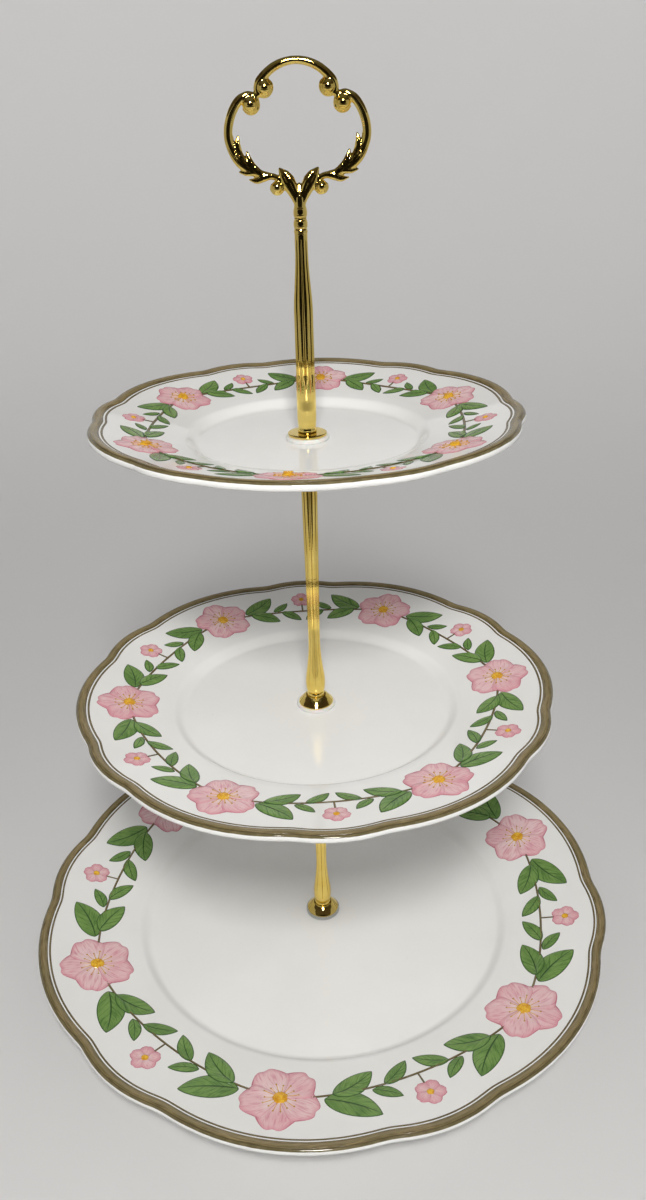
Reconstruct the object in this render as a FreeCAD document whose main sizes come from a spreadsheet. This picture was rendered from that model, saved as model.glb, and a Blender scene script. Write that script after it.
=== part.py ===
import FreeCAD, Part
import math
import os
import Sketcher
from FreeCAD import Vector, Placement, Rotation

# Three-tier cake stand. Three scalloped porcelain plates, each drilled through
# its middle, are clamped on a column of two turned rods and a handle. The
# column comes apart by unscrewing: a screw under the bottom plate, a stud
# through the middle plate and a stud through the top plate.
# Frame: +Z up, z = 0 is the table, the column's axis is x = y = 0, and the
# handle's ring lies in the XZ plane.

os.makedirs("parts", exist_ok=True)
doc = FreeCAD.newDocument("tiered_cake_stand")

# ---------------------------------------------------------------- dimensions
DIMS = [
    # plates: peak radius of the scalloped edge, notch radius, flat well radius
    ("bottom_edge_radius", 134.5), ("bottom_notch_radius", 131.3), ("bottom_well_radius", 83.0),
    ("bottom_rim_height", 22.0), ("bottom_well_height", 7.5), ("bottom_first_lobe", 50.0),
    ("middle_edge_radius", 101.6), ("middle_notch_radius", 99.1), ("middle_well_radius", 56.0),
    ("middle_rim_height", 18.9), ("middle_well_height", 7.0), ("middle_first_lobe", 34.0),
    ("top_edge_radius", 81.8), ("top_notch_radius", 79.7), ("top_well_radius", 40.5),
    ("top_rim_height", 19.1), ("top_well_height", 7.0), ("top_first_lobe", 54.0),
    ("narrow_lobe_angle", 20.0),
    ("plate_thickness", 3.8), ("rim_thickness", 3.0), ("plate_hole_radius", 3.2),
    ("verge_width", 10.5), ("verge_rise", 4.6), ("foot_width", 4.0), ("foot_inset", 1.5),
    # threads, drawn as plain cylinders at their outside diameter
    ("thread_radius", 2.0), ("socket_radius", 2.05), ("washer_hole_radius", 2.1),
    ("socket_depth", 9.5), ("thread_grip", 6.5), ("stud_embed", 8.0), ("stud_fit_radius", 2.02),
    # base screw, under the bottom plate
    ("screw_head_radius", 7.0), ("screw_head_height", 2.0), ("drive_flats", 3.0), ("drive_depth", 1.2),
    ("base_washer_height", 0.8), ("base_washer_radius", 9.5),
    # washers of the two upper plates and all the pads
    ("pad_radius", 8.3), ("pad_height", 1.6), ("pad_boss_radius", 2.95), ("pad_boss_height", 1.5),
    ("clear_pad_radius", 8.0),
    ("cup_base_radius", 7.4), ("cup_top_radius", 4.1), ("cup_height", 3.8), ("cup_wall", 0.8),
    ("support_radius", 7.0), ("support_height", 1.0),
    ("under_radius", 8.0), ("under_height", 1.2),
    ("flange_radius", 7.35), ("flange_height", 0.9),
    # rods
    ("rod_length", 108.3), ("rod_bead_radius", 3.75), ("rod_bead_height", 1.2), ("rod_bulb_radius", 4.15),
    ("rod_bulb_height", 5.6), ("rod_waist_radius", 2.9), ("rod_waist_height", 25.0),
    ("rod_middle_radius", 3.0), ("rod_middle_height", 58.0),
    ("rod_top_radius", 3.35), ("rod_shoulder_height", 100.0),
    # handle stem
    ("stem_length", 75.8), ("stem_foot_radius", 3.6), ("stem_foot_height", 1.6), ("stem_neck_radius", 3.3),
    ("stem_base_radius", 3.6), ("stem_base_height", 11.0), ("stem_body_radius", 3.58),
    ("stem_body_height", 46.0), ("stem_taper_radius", 2.45), ("stem_taper_height", 61.0),
    ("stem_top_radius", 2.1), ("stem_top_height", 71.2), ("bead_radius", 2.3),
    ("spigot_radius", 1.2), ("spigot_socket_radius", 1.22), ("spigot_length", 5.0), ("spigot_socket_depth", 5.4),
    # handle ring, heights above the joint with the stem
    ("ring_neck_height", 4.3), ("ring_neck_radius", 1.9),
    ("crown_centre", 33.6), ("crown_radius", 14.0), ("crown_wire", 1.35),
    ("side_centre_out", 11.1), ("side_centre_up", 26.8), ("side_radius", 12.3), ("side_wire", 1.35),
    ("lower_centre_out", 4.05), ("lower_centre_up", 39.7), ("lower_radius", 27.0), ("lower_wire", 1.3),
    ("upper_ball_out", 10.3), ("upper_ball_up", 40.1), ("upper_ball_radius", 2.8),
    ("side_ball_out", 15.2), ("side_ball_up", 35.3), ("side_ball_radius", 2.9),
    ("foot_ball_out", 7.6), ("foot_ball_up", 9.9), ("foot_ball_radius", 2.3),
    ("fork_root_radius", 2.1), ("fork_tip_radius", 1.45), ("fork_length", 12.6), ("fork_tilt", 29.0),
]

sheet = doc.addObject("Spreadsheet::Sheet", "Dims")
for row, (name, value) in enumerate(DIMS, start=1):
    sheet.set("A%d" % row, name)
    sheet.set("B%d" % row, repr(float(value)))
    sheet.setAlias("B%d" % row, name)
doc.recompute()


class Q:
    """A length that knows both its value and the expression that gives it."""

    def __init__(self, value, text):
        self.value = float(value)
        self.text = text

    @staticmethod
    def of(other):
        return other if isinstance(other, Q) else Q(other, repr(float(other)))

    def _mix(self, other, sign, value):
        other = Q.of(other)
        return Q(value, "(%s %s %s)" % (self.text, sign, other.text))

    def __add__(self, other):
        return self._mix(other, "+", self.value + Q.of(other).value)

    def __sub__(self, other):
        return self._mix(other, "-", self.value - Q.of(other).value)

    def __mul__(self, other):
        return self._mix(other, "*", self.value * Q.of(other).value)

    def __truediv__(self, other):
        return self._mix(other, "/", self.value / Q.of(other).value)


D = {name: Q(value, "Dims." + name) for name, value in DIMS}


def cosine(angle):
    return Q(math.cos(math.radians(angle.value)), "cos(%s * 1 deg)" % angle.text)


def sine(angle):
    return Q(math.sin(math.radians(angle.value)), "sin(%s * 1 deg)" % angle.text)


def origin_plane(body, role):
    for feature in body.Origin.OriginFeatures:
        if feature.Role == role:
            return feature
    raise RuntimeError("no " + role)


def new_body(label, height):
    """A body whose own z = 0 stands at the given height."""
    body = doc.addObject("PartDesign::Body", label)
    body.Label = label
    body.Placement = Placement(Vector(0, 0, height.value), Rotation())
    body.setExpression("Placement.Base.z", height.text)
    return body


def pin_point(sketch, geo, pos, x, y):
    """Fix a sketch point at (x, y) with expressions."""
    for kind, quantity in (("DistanceX", x), ("DistanceY", y)):
        quantity = Q.of(quantity)
        if abs(quantity.value) < 1e-9:
            axis = -2 if kind == "DistanceX" else -1
            sketch.addConstraint(Sketcher.Constraint("PointOnObject", geo, pos, axis))
            continue
        index = sketch.addConstraint(Sketcher.Constraint(kind, -1, 1, geo, pos, quantity.value))
        sketch.setExpression("Constraints[%d]" % index, quantity.text)


def closed_outline(sketch, corners, first):
    """Draw a closed outline. Each corner is (x, y) or (x, y, bulge) where the
    bulge is the sagitta, to the left of travel, of the arc to the next corner."""
    count = len(corners)
    ids = []
    for i, corner in enumerate(corners):
        nxt = corners[(i + 1) % count]
        ax, ay = Q.of(corner[0]), Q.of(corner[1])
        bx, by = Q.of(nxt[0]), Q.of(nxt[1])
        a = Vector(ax.value, ay.value, 0)
        b = Vector(bx.value, by.value, 0)
        if len(corner) == 3:
            chord = b - a
            left = Vector(-chord.y, chord.x, 0).normalize()
            mid = (a + b) * 0.5 + left * corner[2]
            arc = Part.Arc(a, mid, b)
            geo = sketch.addGeometry(arc, False)
            start = sketch.getPoint(geo, 1)
            flipped = (start - a).Length > (start - b).Length
            ids.append((geo, 2 if flipped else 1, 1 if flipped else 2, sketch.Geometry[geo].Radius))
        else:
            geo = sketch.addGeometry(Part.LineSegment(a, b), False)
            ids.append((geo, 1, 2, None))
    for i, (geo, start, end, radius) in enumerate(ids):
        nxt = ids[(i + 1) % count]
        sketch.addConstraint(Sketcher.Constraint("Coincident", geo, end, nxt[0], nxt[1]))
        pin_point(sketch, geo, start, corners[i][0], corners[i][1])
        if radius is not None:
            sketch.addConstraint(Sketcher.Constraint("Radius", geo, radius))
    return ids


def turned(body, name, corners):
    """Revolve an outline in the XZ plane about the column's axis."""
    sketch = body.newObject("Sketcher::SketchObject", name + "_outline")
    sketch.AttachmentSupport = [(origin_plane(body, "XZ_Plane"), "")]
    sketch.MapMode = "FlatFace"
    doc.recompute()
    closed_outline(sketch, corners, 0)
    doc.recompute()
    rev = body.newObject("PartDesign::Revolution", name + "_turned")
    rev.Profile = sketch
    rev.ReferenceAxis = (sketch, ["V_Axis"])
    rev.Angle = 360.0
    doc.recompute()
    body.Tip = rev
    return rev


ALL = []


def keep(obj):
    ALL.append(obj)
    return obj


# ---------------------------------------------------------------- heights
# The stack, from the table up. Each height is the sum of what is below it.
bottom_well = D["bottom_well_height"]
bottom_under = bottom_well - D["plate_thickness"]
base_washer_low = bottom_under - D["base_washer_height"]
screw_low = base_washer_low - D["screw_head_height"]
bottom_pad_top = bottom_well + D["pad_height"]
lower_rod_low = bottom_pad_top + D["cup_height"]
lower_rod_top = lower_rod_low + D["rod_length"]
middle_support_top = lower_rod_top + D["support_height"]
middle_under = middle_support_top + D["under_height"]
middle_well = middle_under + D["plate_thickness"]
middle_foot = middle_well - D["middle_well_height"]
middle_pad_top = middle_well + D["pad_height"]
middle_rod_low = middle_pad_top + D["cup_height"]
middle_rod_top = middle_rod_low + D["rod_length"]
top_support_top = middle_rod_top + D["support_height"]
top_under = top_support_top + D["under_height"]
top_well = top_under + D["plate_thickness"]
top_foot = top_well - D["top_well_height"]
top_pad_top = top_well + D["pad_height"]
stem_low = top_pad_top + D["flange_height"]
ring_low = stem_low + D["stem_length"]


# ---------------------------------------------------------------- plates
def plate(label, tier, height):
    """A shallow scalloped plate: flat well, curved shoulder, flaring rim,
    foot ring underneath and a drilled hole in the middle."""
    body = new_body(label, height)
    edge, notch = D[tier + "_edge_radius"], D[tier + "_notch_radius"]
    well, rim, top = D[tier + "_well_radius"], D[tier + "_rim_height"], D[tier + "_well_height"]
    thick, lip = D["plate_thickness"], D["rim_thickness"]
    foot_out = well - D["foot_inset"]
    foot_in = foot_out - D["foot_width"]
    under = top - thick
    verge_out, verge_top = well + D["verge_width"], top + D["verge_rise"]
    out = edge + 1.0
    turned(body, label, [
        (D["plate_hole_radius"], under),
        (foot_in - 1.0, under),
        (foot_in, Q.of(0.0)),
        (foot_out, Q.of(0.0)),
        (foot_out + 1.2, under + 0.1),
        (well + 1.6, under + 0.3),
        (verge_out + 1.4, verge_top - thick + 0.4, 0.35),
        (out, rim - lip + 0.2),
        (out, rim + 0.2, -0.5),
        (verge_out, verge_top, 0.7),
        (well, top),
        (D["plate_hole_radius"], top),
    ])
    full = body.Shape.Volume
    # The scalloped outline: six wide lobes and six narrow ones, in turn.
    sketch = body.newObject("Sketcher::SketchObject", label + "_scallops")
    sketch.AttachmentSupport = [(origin_plane(body, "XY_Plane"), "")]
    sketch.MapMode = "FlatFace"
    sketch.AttachmentOffset = Placement(Vector(0, 0, 40), Rotation())
    doc.recompute()
    half = D["narrow_lobe_angle"] * 0.5
    first = D[tier + "_first_lobe"]
    corners = []
    for k in range(6):
        for side in (-1.0, 1.0):
            angle = first + 60.0 * k + half * side
            corners.append((angle, side))
    outline = []
    for i, (angle, side) in enumerate(corners):
        span_angle = 20.0 if side < 0 else 40.0
        half_span = math.radians(span_angle / 2)
        peak = edge.value if side > 0 else edge.value - 0.25 * (edge.value - notch.value)
        sagitta = peak - notch.value * math.cos(half_span)
        outline.append((notch * cosine(angle), notch * sine(angle), -sagitta))
    closed_outline(sketch, outline, 0)
    ring = sketch.addGeometry(Part.Circle(Vector(0, 0, 0), Vector(0, 0, 1), edge.value + 20.0), False)
    sketch.addConstraint(Sketcher.Constraint("Coincident", ring, 3, -1, 1))
    index = sketch.addConstraint(Sketcher.Constraint("Radius", ring, edge.value + 20.0))
    sketch.setExpression("Constraints[%d]" % index, (edge + 20.0).text)
    doc.recompute()
    pocket = body.newObject("PartDesign::Pocket", label + "_trim")
    pocket.Profile = sketch
    pocket.Length = 80.0
    doc.recompute()
    body.Tip = pocket
    removed = full - body.Shape.Volume
    print(label, "scallop trim removed", round(removed, 1), "of", round(full, 1))
    if removed < 100.0:
        raise RuntimeError(label + ": the scallops cut nothing")
    return keep(body)


plate("bottom_plate", "bottom", Q.of(0.0))
plate("middle_plate", "middle", middle_foot)
plate("top_plate", "top", top_foot)


# ---------------------------------------------------------------- washers
def flat_washer(label, height, inner, outer, thick):
    body = new_body(label, height)
    turned(body, label, [
        (inner, Q.of(0.0)), (outer - 0.2, Q.of(0.0)), (outer, Q.of(0.2)),
        (outer, thick - 0.2), (outer - 0.2, thick), (inner, thick)])
    return keep(body)


def pad_washer(label, height, outer):
    """A soft washer with a short boss that centres it in the plate's hole."""
    body = new_body(label, height)
    boss = D["pad_boss_height"]
    turned(body, label, [
        (D["washer_hole_radius"], Q.of(0.0) - boss),
        (D["pad_boss_radius"], Q.of(0.0) - boss),
        (D["pad_boss_radius"], Q.of(0.0)),
        (outer - 0.3, Q.of(0.0)),
        (outer, Q.of(0.3)),
        (outer, D["pad_height"] - 0.4),
        (outer - 0.5, D["pad_height"]),
        (D["washer_hole_radius"], D["pad_height"])])
    return keep(body)


def cup_washer(label, height):
    """A pressed conical washer, hollow underneath."""
    body = new_body(label, height)
    wall = D["cup_wall"]
    turned(body, label, [
        (D["cup_base_radius"] - wall, Q.of(0.0)),
        (D["cup_base_radius"], Q.of(0.0)),
        (D["cup_base_radius"], Q.of(0.5)),
        (D["cup_top_radius"], D["cup_height"]),
        (D["washer_hole_radius"], D["cup_height"]),
        (D["washer_hole_radius"], D["cup_height"] - wall),
        (D["cup_top_radius"] - 0.5, D["cup_height"] - wall)])
    return keep(body)


flat_washer("bottom_under_washer", base_washer_low, D["washer_hole_radius"], D["base_washer_radius"],
            D["base_washer_height"])
pad_washer("bottom_pad_washer", bottom_well, D["clear_pad_radius"])
cup_washer("bottom_cup_washer", bottom_pad_top)
flat_washer("middle_support_washer", lower_rod_top, D["washer_hole_radius"], D["support_radius"], D["support_height"])
flat_washer("middle_under_washer", middle_support_top, D["washer_hole_radius"], D["under_radius"], D["under_height"])
pad_washer("middle_pad_washer", middle_well, D["pad_radius"])
cup_washer("middle_cup_washer", middle_pad_top)
flat_washer("top_support_washer", middle_rod_top, D["washer_hole_radius"], D["support_radius"], D["support_height"])
flat_washer("top_under_washer", top_support_top, D["washer_hole_radius"], D["under_radius"], D["under_height"])
pad_washer("top_pad_washer", top_well, D["pad_radius"])
flat_washer("top_flange_washer", top_pad_top, D["washer_hole_radius"], D["flange_radius"], D["flange_height"])


# ---------------------------------------------------------------- screw, studs
def base_screw():
    """Low cheese-head screw: its head hides inside the plate's foot ring."""
    body = new_body("base_screw", screw_low)
    head = D["screw_head_height"]
    shank = lower_rod_low - screw_low + D["thread_grip"]
    turned(body, "base_screw", [
        (Q.of(0.0), Q.of(0.0)),
        (D["screw_head_radius"] - 0.8, Q.of(0.0)),
        (D["screw_head_radius"], Q.of(0.8)),
        (D["screw_head_radius"], head),
        (D["thread_radius"], head),
        (D["thread_radius"], shank - 0.5),
        (D["thread_radius"] - 0.5, shank),
        (Q.of(0.0), shank)])
    full = body.Shape.Volume
    sketch = body.newObject("Sketcher::SketchObject", "base_screw_slot")
    sketch.AttachmentSupport = [(origin_plane(body, "XY_Plane"), "")]
    sketch.MapMode = "FlatFace"
    sketch.AttachmentOffset = Placement(Vector(0, 0, D["drive_depth"].value), Rotation())
    sketch.setExpression("AttachmentOffset.Base.z", D["drive_depth"].text)
    doc.recompute()
    reach = D["drive_flats"]
    corners = []
    for k in range(6):
        angle = Q.of(60.0 * k)
        corners.append((reach * cosine(angle) / math.cos(math.radians(30)),
                        reach * sine(angle) / math.cos(math.radians(30))))
    closed_outline(sketch, corners, 0)
    doc.recompute()
    pocket = body.newObject("PartDesign::Pocket", "base_screw_drive")
    pocket.Profile = sketch
    pocket.Length = 5.0
    doc.recompute()
    body.Tip = pocket
    if full - body.Shape.Volume < 5.0:
        raise RuntimeError("the drive cut nothing")
    return keep(body)


def stud(label, height):
    """Threaded stud fixed in the rod below it, and standing out of its top."""
    body = new_body(label, height)
    length = D["stud_embed"] + D["support_height"] + D["under_height"] + D["plate_thickness"] + D["pad_height"]
    if label == "upper_stud":
        length = length + D["flange_height"] + D["thread_grip"]
    else:
        length = length + D["cup_height"] + D["thread_grip"]
    turned(body, label, [
        (Q.of(0.0), Q.of(0.0)),
        (D["thread_radius"] - 0.4, Q.of(0.0)),
        (D["thread_radius"], Q.of(0.4)),
        (D["thread_radius"], length - 0.5),
        (D["thread_radius"] - 0.5, length),
        (Q.of(0.0), length)])
    return keep(body)


base_screw()
stud("lower_stud", lower_rod_top - D["stud_embed"])
stud("upper_stud", middle_rod_top - D["stud_embed"])


# ---------------------------------------------------------------- rods
def rod(label, height):
    """Turned rod: bead and bulb at the foot, slim waist, then widening upwards.
    It is drilled at both ends: the foot screws down, the top holds a stud."""
    body = new_body(label, height)
    length = D["rod_length"]
    turned(body, label, [
        (Q.of(0.0), D["socket_depth"]),
        (D["socket_radius"], D["socket_depth"]),
        (D["socket_radius"], Q.of(0.0)),
        (D["rod_bead_radius"] - 0.3, Q.of(0.0)),
        (D["rod_bead_radius"], Q.of(0.3)),
        (D["rod_bead_radius"], D["rod_bead_height"] - 0.3),
        (D["rod_bead_radius"] - 0.3, D["rod_bead_height"]),
        (D["rod_bulb_radius"], D["rod_bulb_height"], -0.35),
        (D["rod_waist_radius"] + 0.35, D["rod_bulb_height"] + 8.5, 0.25),
        (D["rod_waist_radius"], D["rod_waist_height"]),
        (D["rod_middle_radius"], D["rod_middle_height"]),
        (D["rod_top_radius"], D["rod_shoulder_height"]),
        (D["rod_top_radius"], length - 0.5),
        (D["rod_top_radius"] - 0.5, length),
        (D["stud_fit_radius"], length),
        (D["stud_fit_radius"], length - D["stud_embed"]),
        (Q.of(0.0), length - D["stud_embed"])])
    return keep(body)


rod("lower_rod", lower_rod_low)
rod("middle_rod", middle_rod_low)


# ---------------------------------------------------------------- handle stem
def handle_stem():
    """Stem of the handle: screwed on the upper stud, with a socket in its
    beaded top for the ring casting's spigot."""
    body = new_body("handle_stem", stem_low)
    length = D["stem_length"]
    bead = D["bead_radius"]
    turned(body, "handle_stem", [
        (Q.of(0.0), D["socket_depth"]),
        (D["socket_radius"], D["socket_depth"]),
        (D["socket_radius"], Q.of(0.0)),
        (D["stem_foot_radius"], Q.of(0.0)),
        (D["stem_foot_radius"], D["stem_foot_height"]),
        (D["stem_neck_radius"], D["stem_foot_height"] + 0.6),
        (D["stem_base_radius"], D["stem_base_height"]),
        (D["stem_body_radius"], D["stem_body_height"]),
        (D["stem_taper_radius"], D["stem_taper_height"]),
        (D["stem_top_radius"], D["stem_top_height"]),
        (bead - 0.3, D["stem_top_height"] + 0.3),
        (bead, D["stem_top_height"] + 1.6),
        (bead, length - 1.6),
        (bead - 0.3, length),
        (D["spigot_socket_radius"], length),
        (D["spigot_socket_radius"], length - D["spigot_socket_depth"]),
        (Q.of(0.0), length - D["spigot_socket_depth"])])
    return keep(body)


handle_stem()


# ---------------------------------------------------------------- handle ring
UPRIGHT = Rotation(Vector(1, 0, 0), 90)
pieces = []


def place(obj, x, up, rotation=None):
    """Stand a primitive at (x, 0, up above the ring's joint)."""
    spot = ring_low + up
    x = Q.of(x)
    obj.Placement = Placement(Vector(x.value, 0, spot.value), rotation or Rotation())
    obj.setExpression("Placement.Base.x", x.text)
    obj.setExpression("Placement.Base.z", spot.text)
    pieces.append(obj)
    return obj


def bow(name, x, up, radius, wire, start, sweep):
    """Round wire bent to an arc in the XZ plane, from start degrees."""
    obj = doc.addObject("Part::Torus", name)
    obj.setExpression("Radius1", radius.text)
    obj.setExpression("Radius2", wire.text)
    obj.Angle3 = sweep
    turn = UPRIGHT.multiply(Rotation(Vector(0, 0, 1), start))
    return place(obj, x, up, turn)


def ball(name, x, up, radius):
    obj = doc.addObject("Part::Sphere", name)
    obj.setExpression("Radius", radius.text)
    return place(obj, x, up)


def spike(name, x, up, root, tip, length, tilt):
    """Tapered prong pointing up and leaning by tilt degrees towards +X."""
    obj = doc.addObject("Part::Cone", name)
    obj.setExpression("Radius1", Q.of(root).text)
    obj.setExpression("Radius2", Q.of(tip).text)
    obj.setExpression("Height", Q.of(length).text)
    return place(obj, x, up, Rotation(Vector(0, 1, 0), tilt))


MINUS = Q.of(-1.0)
bow("crown_bow", Q.of(0.0), D["crown_centre"], D["crown_radius"], D["crown_wire"], 14.0, 152.0)
for side, word in ((1.0, "right"), (-1.0, "left")):
    hand = Q.of(side)
    right = side > 0
    bow("side_bow_" + word, hand * D["side_centre_out"], D["side_centre_up"], D["side_radius"], D["side_wire"],
        -61.4 if right else 108.0, 133.4)
    bow("lower_bow_" + word, hand * D["lower_centre_out"], D["lower_centre_up"], D["lower_radius"], D["lower_wire"],
        -84.0 if right else 239.0, 25.0)
    ball("upper_scroll_" + word, hand * D["upper_ball_out"], D["upper_ball_up"], D["upper_ball_radius"])
    ball("side_scroll_" + word, hand * D["side_ball_out"], D["side_ball_up"], D["side_ball_radius"])
    ball("foot_scroll_" + word, hand * D["foot_ball_out"], D["foot_ball_up"], D["foot_ball_radius"])
    spike("fork_" + word, Q.of(0.0), Q.of(4.3), D["fork_root_radius"], D["fork_tip_radius"], D["fork_length"],
          D["fork_tilt"].value * side)
    spike("inner_leaf_high_" + word, hand * 22.6, Q.of(20.2), Q.of(1.5), Q.of(0.35), Q.of(6.6), -21.0 * side)
    spike("inner_leaf_low_" + word, hand * 18.6, Q.of(17.2), Q.of(1.5), Q.of(0.35), Q.of(4.9), -33.0 * side)
    spike("outer_leaf_high_" + word, hand * 14.6, Q.of(15.4), Q.of(1.2), Q.of(0.3), Q.of(5.5), 100.0 * side)
    spike("outer_leaf_low_" + word, hand * 11.6, Q.of(14.0), Q.of(1.1), Q.of(0.3), Q.of(5.4), 104.0 * side)

neck = doc.addObject("Part::Cylinder", "ring_neck")
neck.setExpression("Radius", D["bead_radius"].text)
neck.setExpression("Height", D["ring_neck_height"].text)
place(neck, Q.of(0.0), Q.of(0.0))
root = doc.addObject("Part::Sphere", "fork_root")
root.setExpression("Radius", D["fork_root_radius"].text)
place(root, Q.of(0.0), Q.of(5.0))
spigot = doc.addObject("Part::Cylinder", "ring_spigot")
spigot.setExpression("Radius", D["spigot_radius"].text)
spigot.setExpression("Height", (D["spigot_length"] + 1.0).text)
place(spigot, Q.of(0.0), Q.of(0.0) - D["spigot_length"])

doc.recompute()
fuse = doc.addObject("Part::MultiFuse", "handle_ring")
fuse.Label = "handle_ring"
fuse.Shapes = pieces
fuse.Refine = False
doc.recompute()
keep(fuse)

# ---------------------------------------------------------------- check, write
doc.recompute()
for obj in doc.Objects:
    if "Invalid" in obj.State or "Error" in obj.State:
        raise RuntimeError("%s is %s" % (obj.Name, obj.State))
names = set()
for obj in ALL:
    shape = obj.Shape
    if shape.isNull() or not shape.isValid():
        raise RuntimeError(obj.Label + " has a bad shape")
    if len(shape.Solids) != 1:
        raise RuntimeError("%s has %d solids" % (obj.Label, len(shape.Solids)))
    if obj.Label in names:
        raise RuntimeError("two objects are named " + obj.Label)
    names.add(obj.Label)
for obj in ALL:
    obj.Shape.exportStep("parts/" + obj.Label + ".step")
    box = obj.Shape.optimalBoundingBox(False)
    print("%-24s x %7.2f %7.2f  y %7.2f %7.2f  z %7.2f %7.2f  volume %9.1f" % (
        obj.Label, box.XMin, box.XMax, box.YMin, box.YMax, box.ZMin, box.ZMax, obj.Shape.Volume))
print(len(ALL), "parts written")
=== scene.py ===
import math
import random

import bmesh
import bpy
import numpy as np
from mathutils import Matrix, Vector


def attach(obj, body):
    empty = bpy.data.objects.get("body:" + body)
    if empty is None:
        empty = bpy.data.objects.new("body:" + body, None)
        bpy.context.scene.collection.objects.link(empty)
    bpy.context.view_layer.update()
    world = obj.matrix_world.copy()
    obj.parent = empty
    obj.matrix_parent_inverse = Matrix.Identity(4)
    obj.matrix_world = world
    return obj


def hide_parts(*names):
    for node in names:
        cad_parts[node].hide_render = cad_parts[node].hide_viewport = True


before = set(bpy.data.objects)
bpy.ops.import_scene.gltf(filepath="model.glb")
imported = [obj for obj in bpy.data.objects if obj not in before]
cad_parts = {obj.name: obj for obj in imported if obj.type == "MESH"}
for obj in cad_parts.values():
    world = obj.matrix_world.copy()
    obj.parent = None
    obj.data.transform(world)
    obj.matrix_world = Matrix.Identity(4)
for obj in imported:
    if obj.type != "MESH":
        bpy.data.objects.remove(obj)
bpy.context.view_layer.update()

MM = 0.001


TAU = 2 * math.pi


# =====================================================================
# mesh helpers
# =====================================================================
def mesh_object(name, verts, faces, smooth=True, scale=MM):
    """An object from vertices in millimetres."""
    mesh = bpy.data.meshes.new(name)
    mesh.from_pydata((np.asarray(verts, float) * scale).tolist(), [], [tuple(int(i) for i in f) for f in faces])
    mesh.update()
    if smooth:
        mesh.polygons.foreach_set("use_smooth", [True] * len(mesh.polygons))
    obj = bpy.data.objects.new(name, mesh)
    bpy.context.scene.collection.objects.link(obj)
    return obj


def add_floats(obj, **layers):
    for name, values in layers.items():
        layer = obj.data.attributes.new(name, "FLOAT", "POINT")
        layer.data.foreach_set("value", np.asarray(values, np.float32))


def grid_faces(rows, cols, wrap_cols=False, start=0, flip=False):
    faces = []
    last = cols if wrap_cols else cols - 1
    for i in range(rows - 1):
        for j in range(last):
            k = (j + 1) % cols
            a, b, c, d = (start + i * cols + j, start + i * cols + k,
                          start + (i + 1) * cols + k, start + (i + 1) * cols + j)
            faces.append((a, d, c, b) if flip else (a, b, c, d))
    return faces


def outward(obj):
    bm = bmesh.new()
    bm.from_mesh(obj.data)
    bmesh.ops.recalc_face_normals(bm, faces=bm.faces)
    bm.to_mesh(obj.data)
    bm.free()
    return obj


def smooth_path(points, step=1.0):
    """A smooth line through every point."""
    pts = np.array(points, float)
    ext = np.concatenate([[2 * pts[0] - pts[1]], pts, [2 * pts[-1] - pts[-2]]])
    out = []
    for i in range(1, len(ext) - 2):
        p0, p1, p2, p3 = ext[i - 1], ext[i], ext[i + 1], ext[i + 2]
        k = max(3, int(np.linalg.norm(p2 - p1) / step))
        for t in np.arange(k) / k:
            out.append(0.5 * (2 * p1 + (p2 - p0) * t + (2 * p0 - 5 * p1 + 4 * p2 - p3) * t * t + (3 * p1 - p0 - 3 * p2 + p3) * t ** 3))
    out.append(pts[-1])
    return np.array(out)


def hash01(*keys):
    """A repeatable number from 0 to 1."""
    value = 12.9898
    for i, k in enumerate(keys):
        value += (k + 1.37 * i) * (78.233 + 17.17 * i)
    return (math.sin(value) * 43758.5453) % 1.0


# =====================================================================
# materials
# =====================================================================
def new_material(name):
    mat = bpy.data.materials.new(name)
    mat.use_nodes = True
    nt = mat.node_tree
    bsdf = nt.nodes["Principled BSDF"]
    return mat, nt, bsdf


def node(nt, kind, **props):
    n = nt.nodes.new(kind)
    for k, v in props.items():
        setattr(n, k, v)
    return n


def attribute(nt, name):
    n = node(nt, "ShaderNodeAttribute")
    n.attribute_name = name
    return n.outputs["Fac"]


def link(nt, a, b):
    nt.links.new(a, b)


def put(nt, socket, value):
    if isinstance(value, (int, float)):
        socket.default_value = value
    elif isinstance(value, tuple):
        socket.default_value = value if len(value) == 4 or socket.type == "VECTOR" else (*value, 1.0)
    else:
        link(nt, value, socket)


def calc(nt, op, a, b=0.0, c=0.0, clamp=False):
    n = node(nt, "ShaderNodeMath", operation=op, use_clamp=clamp)
    put(nt, n.inputs[0], a)
    put(nt, n.inputs[1], b)
    put(nt, n.inputs[2], c)
    return n.outputs[0]


def remap(nt, value, low, high, to_low=0.0, to_high=1.0, smooth=True):
    n = node(nt, "ShaderNodeMapRange")
    n.interpolation_type = "SMOOTHSTEP" if smooth else "LINEAR"
    put(nt, n.inputs["Value"], value)
    n.inputs["From Min"].default_value = low
    n.inputs["From Max"].default_value = high
    n.inputs["To Min"].default_value = to_low
    n.inputs["To Max"].default_value = to_high
    return n.outputs["Result"]


def blend_colour(nt, factor, a, b, mode="MIX"):
    n = node(nt, "ShaderNodeMix", data_type="RGBA", blend_type=mode)
    put(nt, n.inputs["Factor"], factor)
    put(nt, n.inputs["A"], a)
    put(nt, n.inputs["B"], b)
    return n.outputs["Result"]


def noise(nt, vector, scale, detail=3.0, rough=0.55):
    n = node(nt, "ShaderNodeTexNoise")
    link(nt, vector, n.inputs["Vector"])
    n.inputs["Scale"].default_value = scale
    n.inputs["Detail"].default_value = detail
    n.inputs["Roughness"].default_value = rough
    return n.outputs["Fac"]


def vector3(nt, x, y, z):
    n = node(nt, "ShaderNodeCombineXYZ")
    put(nt, n.inputs[0], x)
    put(nt, n.inputs[1], y)
    put(nt, n.inputs[2], z)
    return n.outputs[0]


def coords(nt):
    return node(nt, "ShaderNodeTexCoord").outputs["Object"]


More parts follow.
